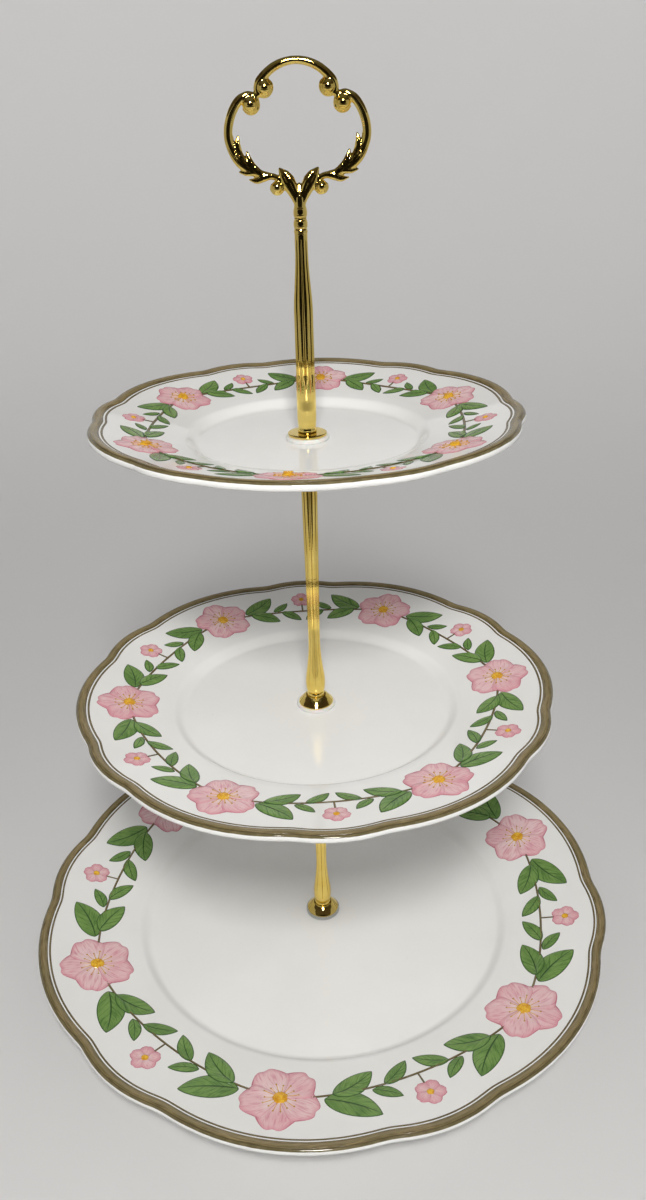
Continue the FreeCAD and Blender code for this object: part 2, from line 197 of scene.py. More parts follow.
def bump(nt, bsdf, height, strength, distance, under=None):
    n = node(nt, "ShaderNodeBump")
    n.inputs["Strength"].default_value = strength
    n.inputs["Distance"].default_value = distance
    link(nt, height, n.inputs["Height"])
    if under is not None:
        link(nt, under, n.inputs["Normal"])
    link(nt, n.outputs["Normal"], bsdf.inputs["Normal"])
    return n.outputs["Normal"]


def glaze_material():
    """White glazed earthenware: glossy, slightly uneven, olive paint on the lip,
    and bare biscuit on the foot ring."""
    mat, nt, bsdf = new_material("glazed_white")
    pos = coords(nt)
    cloud = noise(nt, pos, 22.0, 3.0)
    white = blend_colour(nt, remap(nt, cloud, 0.3, 0.7), (0.845, 0.845, 0.822), (0.875, 0.876, 0.857))
    speck = noise(nt, pos, 900.0, 1.0)
    dot = remap(nt, speck, 0.80, 0.83)
    white = blend_colour(nt, calc(nt, "MULTIPLY", dot, 0.35), white, (0.50, 0.40, 0.27))
    # olive paint carried over the lip
    streak = noise(nt, pos, 260.0, 3.0)
    olive = blend_colour(nt, remap(nt, streak, 0.35, 0.68), (0.125, 0.103, 0.046), (0.185, 0.152, 0.075))
    lip = attribute(nt, "lip")
    wob = calc(nt, "ADD", lip, calc(nt, "MULTIPLY", calc(nt, "SUBTRACT", noise(nt, pos, 180.0, 2.0), 0.5), 0.5))
    painted = remap(nt, wob, 0.42, 0.58)
    colour = blend_colour(nt, painted, white, olive)
    bare = attribute(nt, "bare")
    colour = blend_colour(nt, bare, colour, (0.60, 0.53, 0.43))
    link(nt, colour, bsdf.inputs["Base Color"])
    gloss = remap(nt, noise(nt, pos, 60.0, 2.0), 0.3, 0.7, 0.055, 0.10)
    rough = calc(nt, "ADD", gloss, calc(nt, "MULTIPLY", bare, 0.55))
    link(nt, rough, bsdf.inputs["Roughness"])
    bsdf.inputs["IOR"].default_value = 1.52
    bsdf.inputs["Specular IOR Level"].default_value = 0.55
    wave = noise(nt, pos, 55.0, 2.0, 0.5)
    bump(nt, bsdf, wave, 0.10, 0.0009)
    return mat


def petal_material():
    mat, nt, bsdf = new_material("petal_paint")
    u, v, d, r = (attribute(nt, k) for k in ("along", "across", "inset", "rnd"))
    where = vector3(nt, calc(nt, "MULTIPLY", v, 5.5), calc(nt, "MULTIPLY", u, 1.3), calc(nt, "MULTIPLY", r, 37.0))
    brush = noise(nt, where, 1.9, 4.0, 0.62)
    patch = noise(nt, coords(nt), 95.0, 3.0)
    pale = blend_colour(nt, remap(nt, patch, 0.3, 0.7), (0.845, 0.625, 0.635), (0.815, 0.525, 0.545))
    deep = (0.64, 0.235, 0.300)
    colour = blend_colour(nt, remap(nt, brush, 0.44, 0.70, 0.0, 0.80), pale, deep)
    # paler towards the flower's middle, and here and there towards the rim
    base = remap(nt, calc(nt, "ADD", u, calc(nt, "MULTIPLY", brush, 0.25)), 0.14, 0.70, 0.92, 0.0)
    colour = blend_colour(nt, base, colour, (0.86, 0.77, 0.735))
    shade = remap(nt, calc(nt, "ADD", r, calc(nt, "MULTIPLY", patch, 0.5)), 0.2, 1.3, 0.0, 0.28)
    colour = blend_colour(nt, shade, colour, (0.68, 0.26, 0.32))
    # soft darker margin, then the thin outline
    margin = remap(nt, calc(nt, "ADD", d, calc(nt, "MULTIPLY", brush, 1.6)), 0.9, 3.0, 0.50, 0.0)
    colour = blend_colour(nt, margin, colour, (0.58, 0.17, 0.225))
    thin = remap(nt, calc(nt, "ADD", d, calc(nt, "MULTIPLY", patch, 0.35)), 0.30, 0.62, 0.75, 0.0)
    colour = blend_colour(nt, thin, colour, (0.46, 0.115, 0.165))
    link(nt, colour, bsdf.inputs["Base Color"])
    bsdf.inputs["IOR"].default_value = 1.52
    link(nt, remap(nt, patch, 0.3, 0.7, 0.07, 0.13), bsdf.inputs["Roughness"])
    bump(nt, bsdf, brush, 0.25, 0.0004)
    return mat


def leaf_material():
    mat, nt, bsdf = new_material("leaf_paint")
    u, v, d, r = (attribute(nt, k) for k in ("along", "across", "inset", "rnd"))
    side = calc(nt, "ABSOLUTE", v)
    # side veins sweep forwards from the midrib
    sweep = calc(nt, "SUBTRACT", calc(nt, "MULTIPLY", u, 7.0), calc(nt, "MULTIPLY", side, 2.6))
    where = vector3(nt, sweep, calc(nt, "MULTIPLY", side, 0.9), calc(nt, "ADD", calc(nt, "MULTIPLY", r, 53.0),
                    calc(nt, "MULTIPLY", calc(nt, "SIGN", v), 3.0)))
    brush = noise(nt, where, 1.9, 4.0, 0.6)
    patch = noise(nt, coords(nt), 120.0, 3.0)
    light = blend_colour(nt, remap(nt, patch, 0.3, 0.7), (0.205, 0.345, 0.095), (0.135, 0.255, 0.064))
    colour = blend_colour(nt, remap(nt, brush, 0.44, 0.78, 0.0, 0.85), light, (0.045, 0.115, 0.026))
    wash = remap(nt, calc(nt, "ADD", brush, calc(nt, "MULTIPLY", r, 0.22)), 0.28, 0.50, 0.55, 0.0)
    colour = blend_colour(nt, wash, colour, (0.270, 0.420, 0.140))
    saw = calc(nt, "FRACT", calc(nt, "SUBTRACT", calc(nt, "MULTIPLY", u, 6.5), calc(nt, "MULTIPLY", side, 1.9)))
    vein = remap(nt, calc(nt, "ABSOLUTE", calc(nt, "SUBTRACT", saw, 0.5)), 0.02, 0.11, 0.55, 0.0)
    colour = blend_colour(nt, calc(nt, "MULTIPLY", vein, remap(nt, brush, 0.35, 0.6, 0.4, 1.0)), colour, (0.040, 0.100, 0.026))
    rib = remap(nt, calc(nt, "ADD", side, calc(nt, "MULTIPLY", u, 0.03)), 0.035, 0.105, 0.9, 0.0)
    colour = blend_colour(nt, rib, colour, (0.016, 0.055, 0.014))
    thin = remap(nt, calc(nt, "ADD", d, calc(nt, "MULTIPLY", patch, 0.5)), 0.40, 0.95, 0.92, 0.0)
    colour = blend_colour(nt, thin, colour, (0.020, 0.066, 0.017))
    link(nt, colour, bsdf.inputs["Base Color"])
    bsdf.inputs["IOR"].default_value = 1.52
    link(nt, remap(nt, patch, 0.3, 0.7, 0.08, 0.15), bsdf.inputs["Roughness"])
    bump(nt, bsdf, calc(nt, "SUBTRACT", brush, rib), 0.35, 0.0004)
    return mat


def band_material():
    mat, nt, bsdf = new_material("band_paint")
    u, v, d, r = (attribute(nt, k) for k in ("along", "across", "inset", "rnd"))
    where = vector3(nt, calc(nt, "MULTIPLY", u, 0.055), calc(nt, "MULTIPLY", v, 1.7), calc(nt, "MULTIPLY", r, 41.0))
    brush = noise(nt, where, 3.2, 4.0, 0.6)
    patch = noise(nt, coords(nt), 60.0, 2.0)
    light = blend_colour(nt, remap(nt, patch, 0.35, 0.65), (0.280, 0.215, 0.100), (0.205, 0.165, 0.070))
    colour = blend_colour(nt, remap(nt, brush, 0.40, 0.66), light, (0.095, 0.070, 0.028))
    # painted highlight: the crest of the raised band is painted lighter, where light would catch it
    painted_crest_highlight = remap(nt, d, 0.55, 1.7, 0.0, 0.45)
    colour = blend_colour(nt, painted_crest_highlight, colour, (0.335, 0.270, 0.150))
    thin = remap(nt, d, 0.05, 0.50, 0.85, 0.0)
    colour = blend_colour(nt, thin, colour, (0.075, 0.055, 0.022))
    link(nt, colour, bsdf.inputs["Base Color"])
    bsdf.inputs["IOR"].default_value = 1.52
    link(nt, remap(nt, patch, 0.3, 0.7, 0.08, 0.15), bsdf.inputs["Roughness"])
    bump(nt, bsdf, brush, 0.35, 0.0004)
    return mat


def stamen_material():
    mat, nt, bsdf = new_material("stamen_yellow")
    pos = coords(nt)
    fleck = noise(nt, pos, 620.0, 3.0)
    colour = blend_colour(nt, remap(nt, fleck, 0.38, 0.64), (0.86, 0.53, 0.045), (0.66, 0.31, 0.012))
    d = attribute(nt, "inset")
    colour = blend_colour(nt, remap(nt, d, 0.0, 1.1, 0.45, 0.0), colour, (0.55, 0.25, 0.03))
    link(nt, colour, bsdf.inputs["Base Color"])
    bsdf.inputs["Roughness"].default_value = 0.12
    bsdf.inputs["IOR"].default_value = 1.52
    bump(nt, bsdf, fleck, 0.5, 0.0003)
    return mat


def dot_material():
    mat, nt, bsdf = new_material("stamen_ochre")
    fleck = noise(nt, coords(nt), 800.0, 2.0)
    link(nt, blend_colour(nt, fleck, (0.40, 0.19, 0.03), (0.56, 0.30, 0.05)), bsdf.inputs["Base Color"])
    bsdf.inputs["Roughness"].default_value = 0.15
    return mat


def gold_material(name, satin=0.0, tint=(0.93, 0.72, 0.215), dark=(0.86, 0.63, 0.15)):
    """Polished gold plate with faint polishing lines and a few soft smears."""
    mat, nt, bsdf = new_material(name)
    pos = coords(nt)
    cloud = noise(nt, pos, 130.0, 3.0)
    plate = blend_colour(nt, remap(nt, cloud, 0.3, 0.7), tint, dark)
    # painted shade: the bottom of each flute is painted darker, standing in for the shade that falls in it
    painted_flute_shade = remap(nt, attribute(nt, "flute"), 0.25, 0.95, 0.0, 0.62)
    link(nt, blend_colour(nt, painted_flute_shade, plate, (0.34, 0.19, 0.045)), bsdf.inputs["Base Color"])
    bsdf.inputs["Metallic"].default_value = 1.0
    smear = noise(nt, pos, 340.0, 4.0)
    link(nt, remap(nt, smear, 0.35, 0.70, 0.032 + satin, 0.085 + satin), bsdf.inputs["Roughness"])
    split = node(nt, "ShaderNodeSeparateXYZ")
    link(nt, pos, split.inputs[0])
    lines = vector3(nt, calc(nt, "MULTIPLY", split.outputs[0], 0.25), calc(nt, "MULTIPLY", split.outputs[1], 0.25), split.outputs[2])
    grain = noise(nt, lines, 1500.0, 2.0)
    pits = noise(nt, pos, 900.0, 2.0)
    bump(nt, bsdf, calc(nt, "ADD", grain, calc(nt, "MULTIPLY", pits, 0.6)), 0.035, 0.0002)
    return mat


def steel_material():
    mat, nt, bsdf = new_material("zinc_steel")
    pos = coords(nt)
    cloud = noise(nt, pos, 300.0, 3.0)
    link(nt, blend_colour(nt, cloud, (0.60, 0.60, 0.58), (0.42, 0.42, 0.41)), bsdf.inputs["Base Color"])
    bsdf.inputs["Metallic"].default_value = 1.0
    link(nt, remap(nt, cloud, 0.3, 0.7, 0.22, 0.36), bsdf.inputs["Roughness"])
    bump(nt, bsdf, noise(nt, pos, 1200.0, 2.0), 0.08, 0.0002)
    return mat


def plastic_material(name, a, b, rough, clear=0.0):
    mat, nt, bsdf = new_material(name)
    pos = coords(nt)
    cloud = noise(nt, pos, 260.0, 3.0)
    link(nt, blend_colour(nt, cloud, a, b), bsdf.inputs["Base Color"])
    link(nt, remap(nt, cloud, 0.3, 0.7, rough, rough + 0.12), bsdf.inputs["Roughness"])
    bsdf.inputs["IOR"].default_value = 1.49
    if clear:
        bsdf.inputs["Transmission Weight"].default_value = clear
    else:
        bsdf.inputs["Subsurface Weight"].default_value = 0.25
        bsdf.inputs["Subsurface Scale"].default_value = 0.001
    bump(nt, bsdf, noise(nt, pos, 1500.0, 2.0), 0.05, 0.0002)
    return mat


GLAZE = glaze_material()
PETAL = petal_material()
LEAF = leaf_material()
BAND = band_material()
STAMEN = stamen_material()
DOTS = dot_material()
GOLD = gold_material("polished_gold")
STEEL = steel_material()
WHITE_PLASTIC = plastic_material("white_nylon", (0.80, 0.80, 0.78), (0.72, 0.71, 0.68), 0.28)
CLEAR_PLASTIC = plastic_material("clear_vinyl", (0.88, 0.90, 0.89), (0.80, 0.82, 0.81), 0.12, clear=0.75)


def finish_piece(obj, material, body, replaces=()):
    obj.data.materials.clear()
    obj.data.materials.append(material)
    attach(obj, body)
    if replaces:
        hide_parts(*replaces)
    return obj


# =====================================================================
# plates
# =====================================================================
class Plate:
    """A scalloped plate. All numbers in millimetres, heights in the row frame."""

    def __init__(self, key, edge, notch, well, first, base, top, rim, body, seed):
        self.key, self.edge, self.notch, self.well = key, edge, notch, well
        self.first, self.base, self.top, self.rim = first, base, top, rim
        self.body, self.seed = body, seed
        self.verge_w, self.verge_h, self.thick, self.lip = 10.5, 4.6, 3.8, 3.0
        n = 3600
        ang = np.arange(n) * 360.0 / n
        rel = (ang - first + 10.0) % 60.0
        narrow = rel < 20.0
        t = np.where(narrow, (rel - 10.0) / 10.0, (rel - 40.0) / 20.0)
        peak = np.where(narrow, edge - 0.25 * (edge - notch), edge)
        r = notch + (peak - notch) * (1 - t * t)
        # soften the notches
        k = np.exp(-0.5 * (np.arange(-60, 61) / 13.0) ** 2)
        k /= k.sum()
        r = np.convolve(np.concatenate([r[-60:], r, r[:60]]), k, "valid")
        self.table = r * (edge - 0.05) / r.max()

    def radius(self, ang):
        a = (np.degrees(ang) % 360.0) * 10.0
        i = np.floor(a).astype(int)
        f = a - i
        return self.table[i % 3600] * (1 - f) + self.table[(i + 1) % 3600] * f

    def height(self, x, y):
        """Glaze height over (x, y)."""
        r = np.hypot(x, y)
        big = self.radius(np.arctan2(y, x))
        return self.height_at(r, big)

    def height_at(self, r, big):
        w, out = self.well, self.well + self.verge_w
        span = self.edge - out
        left = self.rim - self.top - self.verge_h
        s = np.clip((r - w) / self.verge_w, 0, 1)
        slope = 0.86 * left / span * self.verge_w
        c = np.clip((r - w - 0.8) / 5.2, 0, 1)
        verge = (0.45 * (3 * s * s - 2 * s**3) + 0.55 * (3 * c * c - 2 * c**3)) * self.verge_h + (s**3 - s * s) * slope
        q = np.clip((r - out) / span, 0, 1.2)
        rise = left * (0.86 * q + 0.14 * q * q)
        dish = 0.18 * np.clip(r / w, 0, 1) ** 3
        z = self.top + dish * (1 - s) + verge + rise
        # the lip turns over
        over = np.clip((r - (big - 1.5)) / 1.5, 0, 1)
        return z - (1.5 - np.sqrt(np.maximum(2.25 - (over * 1.5) ** 2, 0.0)))


def build_plate(p):
    n = 540 if p.key == "bottom" else 480
    ang = np.arange(n) * TAU / n
    big = p.radius(ang)
    out = p.well + p.verge_w
    under = p.top - p.thick
    foot_out = p.well - 1.5
    foot_in = foot_out - 4.0
    rows, lip, bare = [], [], []

    def row(r, z, lip_value=0.0, bare_value=0.0):
        rows.append(np.stack([r * np.cos(ang), r * np.sin(ang), np.broadcast_to(z, r.shape)], 1))
        lip.append(np.full(n, lip_value))
        bare.append(np.full(n, bare_value))

    one = np.ones(n)
    # upper face, from the hole outwards
    row(one * 3.2, under + 0.4, 0, 0.6)
    row(one * 3.2, p.top - 0.4, 0, 0.6)
    row(one * 3.32, p.top - 0.1, 0, 0.3)
    row(one * 3.6, p.top, 0, 0)
    for r in (5.0, 8.0, 14.0, 22.0):
        row(one * r, p.height_at(one * r, big))
    steps = max(8, int((p.well - 24.0) / 5.0))
    for k in range(steps + 1):
        r = 24.0 + (p.well - 1.0 - 24.0) * k / steps
        row(one * r, p.height_at(one * r, big))
    for k in range(1, 19):
        r = p.well - 1.0 + (p.verge_w + 2.0) * k / 18.0
        row(one * r, p.height_at(one * r, big))
    inner = out + 1.0
    for k in range(1, 23):
        f = k / 22.0
        r = inner + (big - 1.5 - inner) * f
        row(r, p.height_at(r, big), remap_np(f, 0.93, 1.0, 0.0, 0.75))
    for a in (15, 30, 45, 60, 75, 90):
        t = math.radians(a)
        r = big - 1.5 + 1.5 * math.sin(t)
        z = p.height_at(big - 1.5, big) - 1.5 + 1.5 * math.cos(t)
        row(r, z, 1.0 if a < 50 else (0.30 if a < 70 else 0.0))
    edge_z = p.height_at(big - 1.5, big) - 1.5
    row(big - 0.0, edge_z - 0.30, 0.0)
    for a in (25, 50, 75, 90):
        t = math.radians(a)
        r = big - 1.3 + 1.3 * math.cos(t)
        row(r, edge_z - 0.35 - 1.2 * math.sin(t), 0.0)
    # underside, back to the hole
    low_edge = edge_z - 1.55
    for k in range(1, 19):
        f = k / 18.0
        r = (big - 1.3) * (1 - f) + (out + 1.5) * f
        top_here = p.height_at(r, big)
        row(r, np.minimum(low_edge, top_here - (3.0 + 0.8 * f)) if f > 0.05 else low_edge)
    for k in range(1, 13):
        f = k / 12.0
        r = (out + 1.5) * (1 - f) + (foot_out + 1.5) * f
        s = np.clip((r - foot_out - 1.5) / (out + 1.5 - foot_out - 1.5), 0, 1)
        smooth = s * s * (3 - 2 * s)
        top_here = float(p.height_at(np.array([out + 1.5]), np.array([float(big.mean())]))[0])
        z = (under + 0.25) * (1 - smooth) + (top_here - 3.8) * smooth
        row(one * r, z)
    h = under - p.base
    for r, z, b in ((foot_out + 0.7, under - 0.05, 0), (foot_out + 0.25, under - 0.5, 0), (foot_out, under - 1.2, 0),
                    (foot_out - 0.1, p.base + 0.9, 0.2), (foot_out - 0.4, p.base + 0.25, 1),
                    (foot_out - 1.1, p.base, 1), (foot_in + 1.1, p.base, 1), (foot_in + 0.4, p.base + 0.25, 1),
                    (foot_in + 0.1, p.base + 0.9, 0.3), (foot_in - 0.1, under - 1.0, 0), (foot_in - 0.5, under - 0.3, 0),
                    (foot_in - 1.4, under, 0)):
        row(one * r, z, 0, b)
    for k in range(1, 9):
        r = (foot_in - 1.4) + (4.0 - (foot_in - 1.4)) * k / 8.0
        row(one * r, under)
    row(one * 3.5, under, 0, 0.4)
    row(one * 3.28, under + 0.1, 0, 0.6)
    count = len(rows)
    verts = np.concatenate(rows)
    faces = grid_faces(count, n, wrap_cols=True)
    # close the wall of the hole: last row to first
    last = (count - 1) * n
    for j in range(n):
        k = (j + 1) % n
        faces.append((last + j, last + k, k, j))
    obj = mesh_object(p.key + "_plate_glazed", verts, faces)
    add_floats(obj, lip=np.concatenate(lip), bare=np.concatenate(bare))
    outward(obj)
    return finish_piece(obj, GLAZE, p.body, (p.key + "_plate",))


def remap_np(x, a, b, c, d):
    t = min(1.0, max(0.0, (x - a) / (b - a)))
    return c + (d - c) * t * t * (3 - 2 * t)


PLATES = {
    "bottom": Plate("bottom", 134.5, 131.3, 83.0, 50.0, 0.0, 7.5, 22.0, "bottom_dish", 1),
    "middle": Plate("middle", 101.6, 99.1, 56.0, 34.0, 120.2, 127.2, 139.1, "lower_column", 2),
    "top": Plate("top", 81.8, 79.7, 40.5, 54.0, 239.9, 246.9, 259.0, "middle_column", 3),
}
for plate in PLATES.values():
    build_plate(plate)


# =====================================================================
# painted relief: a plain regular border, set out from each plate's own lobes.
# Every sixth of the rim is the same: a blossom on the broad lobe, a floret on the
# narrow one, a swagged stem between them with leaves in mirrored pairs, and a
# plain band with a fine line inside it round the edge.
# =====================================================================
class Relief:
    """How high the decoration laid so far stands above one plate's glaze."""

    def __init__(self, p):
        self.cell = 0.4
        self.half = int((p.edge + 3) / self.cell)
        self.h = np.zeros((2 * self.half + 1, 2 * self.half + 1))

    def index(self, v):
        return np.clip(np.rint(np.asarray(v) / self.cell).astype(int) + self.half, 0, 2 * self.half)

    def at(self, x, y):
        return self.h[self.index(y), self.index(x)]

    def lay(self, x, y, h):
        np.maximum.at(self.h, (self.index(y), self.index(x)), h)


def finer(a, f):
    """A grid resampled f times finer."""
    rows, cols = a.shape
    ri, ci = np.linspace(0, rows - 1, (rows - 1) * f + 1), np.linspace(0, cols - 1, (cols - 1) * f + 1)
    a = np.stack([np.interp(ri, np.arange(rows), a[:, j]) for j in range(cols)], 1)
    return np.stack([np.interp(ci, np.arange(cols), a[i]) for i in range(a.shape[0])], 0)


def outline_distance(x, y):
    """Distance in millimetres from each grid point to the grid's outline."""
    ring = np.concatenate([np.stack([x[0], y[0]], 1), np.stack([x[1:, -1], y[1:, -1]], 1),
                           np.stack([x[-1, -2::-1], y[-1, -2::-1]], 1), np.stack([x[-2:0:-1, 0], y[-2:0:-1, 0]], 1)])
    a, b = ring, np.roll(ring, -1, 0)
    ab = b - a
    pts = np.stack([x.ravel(), y.ravel()], 1)
    ap = pts[:, None, :] - a[None]
    t = np.clip((ap * ab[None]).sum(2) / np.maximum((ab * ab).sum(1)[None], 1e-9), 0, 1)
    gap = ap - t[..., None] * ab[None]
    return np.sqrt((gap * gap).sum(2).min(1)).reshape(x.shape)


class Group:
    """Patches of one paint on one plate, joined into a single piece."""

    def __init__(self, p, relief):
        self.p, self.relief = p, relief
        self.verts, self.faces, self.count = [], [], 0
        self.layers = {"along": [], "across": [], "inset": [], "rnd": []}

    def hold(self, x, y):
        r = np.hypot(x, y)
        k = np.minimum(1.0, (self.p.radius(np.arctan2(y, x)) - 0.95) / np.maximum(r, 1e-6))
        return x * k, y * k

    def take(self, x, y, z, along, across, inset, rnd):
        rows, cols = x.shape
        i, j = rows // 2, cols // 2
        ax, ay = x[i, j] - x[i - 1, j], y[i, j] - y[i - 1, j]
        bx, by = x[i, j] - x[i, j - 1], y[i, j] - y[i, j - 1]
        self.faces += grid_faces(rows, cols, start=self.count, flip=bx * ay - by * ax < 0)
        self.verts.append(np.stack([x.ravel(), y.ravel(), z.ravel()], 1))
        self.count += x.size
        for key, value in (("along", along), ("across", across), ("inset", inset), ("rnd", np.full(x.shape, rnd))):
            self.layers[key].append(np.broadcast_to(value, x.shape).ravel())

    def patch(self, x, y, along, across, high, soft, rnd, shape=0.0):
        """A soft-edged raised patch that lies over whatever is there already."""
        x, y = self.hold(x, y)
        inset = outline_distance(x, y)
        top = self.relief.at(x, y) + 0.05 + high * (1 - np.exp(-inset / soft)) + shape
        top = np.where(inset < 1e-6, top - 0.11, top)
        self.take(x, y, self.p.height(x, y) + top, along, across, inset, rnd)
        self.relief.lay(finer(x, 4), finer(y, 4), finer(top, 4))

    def ribbon(self, path, half, high, rnd, cols=7, over=False):
        """A half-round line along a path, on the glaze or over the relief laid so far."""
        path, half = np.asarray(path, float), np.asarray(half, float)
        tang = np.gradient(path, axis=0)
        tang /= np.maximum(np.linalg.norm(tang, axis=1, keepdims=True), 1e-9)
        side = np.stack([-tang[:, 1], tang[:, 0]], 1)
        v = np.sin(np.linspace(-math.pi / 2, math.pi / 2, cols))[None, :]
        x = path[:, 0:1] + side[:, 0:1] * v * half[:, None]
        y = path[:, 1:2] + side[:, 1:2] * v * half[:, None]
        x, y = self.hold(x, y)
        run = np.concatenate([[0.0], np.cumsum(np.linalg.norm(np.diff(path, axis=0), axis=1))])[:, None]
        tall = np.minimum(1.0, half / 1.1)[:, None]
        top = -0.07 + high * tall * np.sqrt(np.maximum(1 - v * v, 0.0))
        if over:
            top = top + self.relief.at(x, y).max(1, keepdims=True)
        self.take(x, y, self.p.height(x, y) + top, run, v, np.maximum(half[:, None] * (1 - np.abs(v)), 0.0), rnd)
        self.relief.lay(finer(x, 3), finer(y, 3), np.maximum(finer(top + 0 * x, 3), 0.0))

    def build(self, name, material):
        obj = mesh_object(name, np.concatenate(self.verts), self.faces)
        add_floats(obj, **{k: np.concatenate(v) for k, v in self.layers.items()})
        return finish_piece(obj, material, self.p.body)


class Beads:
    """Small raised domes, joined into a single piece."""

    def __init__(self, p, relief):
        self.p, self.relief = p, relief
        self.verts, self.faces, self.count = [], [], 0
        self.inset = []

    def dome(self, cx, cy, radius, high, seg=10, rings=3, ripple=0.0):
        t = np.arange(seg) * TAU / seg
        f = np.array([i / rings for i in range(1, rings + 1)])[:, None]
        wob = 1 + ripple * np.sin(5 * t)[None, :]
        x, y = cx + radius * f * wob * np.cos(t), cy + radius * f * wob * np.sin(t)
        base = float(np.percentile(self.relief.at(x, y), 80))
        z = self.p.height(x, y) + base - 0.05 + high * np.sqrt(np.maximum(1 - f * f, 0.0)) + 0 * x
        z[-1] -= 0.12
        peak = float(self.p.height(np.array([cx]), np.array([cy]))[0]) + base - 0.05 + high
        faces = grid_faces(rings, seg, wrap_cols=True, start=self.count, flip=True)
        tip = self.count + rings * seg
        faces += [(self.count + j, self.count + (j + 1) % seg, tip) for j in range(seg)]
        self.verts.append(np.concatenate([np.stack([x.ravel(), y.ravel(), z.ravel()], 1), [[cx, cy, peak]]]))
        self.inset.append(np.concatenate([(radius * (1 - f) * np.ones((1, seg))).ravel(), [radius]]))
        self.faces += faces
        self.count = tip + 1
        top = base + high * np.sqrt(np.maximum(1 - f * f, 0.0)) + 0 * x
        self.relief.lay(x, y, top)
        self.relief.lay(np.array([cx]), np.array([cy]), np.array([base + high]))

    def build(self, name, material):
        obj = mesh_object(name, np.concatenate(self.verts), self.faces)
        add_floats(obj, inset=np.concatenate(self.inset))
        return finish_piece(obj, material, self.p.body)


def petal(group, centre, turn, length, seed, wide=0.53, high=0.34):
    """One rounded petal with a shallow dip in its end."""
    c = np.array(centre, float)
    d = np.array((math.cos(turn), math.sin(turn)))
    n = np.array((-d[1], d[0]))
    rows, cols = (22, 17) if length > 8 else (12, 9)
    s = np.linspace(0.04, 1, rows)[:, None]
    v = np.linspace(-1, 1, cols)[None, :]
    peak = 0.68
    swell = np.where(s < peak, 0.14 + 0.86 * np.sin(np.clip(s / peak, 0, 1) * math.pi / 2) ** 1.1,
                     np.sqrt(np.clip(1 - ((s - peak) / 0.50) ** 2, 0, 1)))
    a = hash01(seed, 1) * TAU
    reach = 1 - 0.30 * np.abs(v) ** 2.8 - 0.055 * np.exp(-(v / 0.24) ** 2)
    out = s * (1 + (reach - 1) * np.clip(s * 1.15, 0, 1) ** 1.5) * length
    over = v * swell * wide * length
    x = c[0] + d[0] * out + n[0] * over
    y = c[1] + d[1] * out + n[1] * over
    shape = 0.09 * np.cos(v * math.pi) * np.sin(s * math.pi) + 0.025 * np.sin(6 * v + 3 * s + a) * s
    group.patch(x, y, s * np.ones_like(v), v * np.ones_like(s), high * min(1.0, length / 13.0), 1.0, hash01(seed, 9), shape * min(1.0, length / 13.0))


def blossom(groups, centre, size, turn, seed):
    """Five equal petals about a beaded eye, with a ring of fine stamens on the large ones."""
    for k in range(5):
        petal(groups["petals"], centre, turn + TAU * k / 5, size, seed + k)
    cx, cy = centre
    if size > 8:
        count = 15
        for k in range(count):
            t = turn + TAU * (k + 0.5) / count
            f = np.linspace(0.16, 0.37 if k % 2 else 0.43, 6) * size
            path = np.stack([cx + f * math.cos(t), cy + f * math.sin(t)], 1)
            groups["stamens"].ribbon(path, np.full(6, 0.17), 0.9, hash01(seed, k), cols=5, over=True)
            groups["beads"].dome(path[-1, 0], path[-1, 1], 0.46, 0.30, seg=8, rings=2)
    groups["eyes"].dome(cx, cy, 0.185 * size if size > 8 else 0.24 * size, 0.75 if size > 8 else 0.5, seg=30, rings=6, ripple=0.03)
    if size > 8:
        for ring, count in ((0.055, 5), (0.115, 10)):
            for k in range(count):
                t = turn + TAU * k / count
                groups["eyes"].dome(cx + ring * size * math.cos(t), cy + ring * size * math.sin(t), 0.42, 0.20, seg=8, rings=2)


def leaf(group, base, tip, wide=0.26, bend=0.0, seed=0.0, high=0.32):
    """A pointed oval leaf."""
    c, t = np.array(base, float), np.array(tip, float)
    length = float(np.linalg.norm(t - c))
    d = (t - c) / length
    n = np.array((-d[1], d[0]))
    rows, cols = (28, 13) if length > 11 else (16, 9)
    s = (0.5 - 0.5 * np.cos(np.linspace(0.0, math.pi, rows)))[:, None]
    v = np.linspace(-1, 1, cols)[None, :]
    w = s ** 0.66 * (1 - s) ** 0.80 / (0.45 ** 0.66 * 0.55 ** 0.80)
    w = np.maximum(w * wide * length, 0.12)
    mid = bend * length * 4 * s * (1 - s)
    x = c[0] + d[0] * s * length + n[0] * (mid + v * w)
    y = c[1] + d[1] * s * length + n[1] * (mid + v * w)
    shape = 0.10 * (np.abs(v) - 0.5) * np.sin(s * math.pi)
    group.patch(x, y, s * np.ones_like(v), v * np.ones_like(s), high, 0.9, hash01(seed, 8), shape)


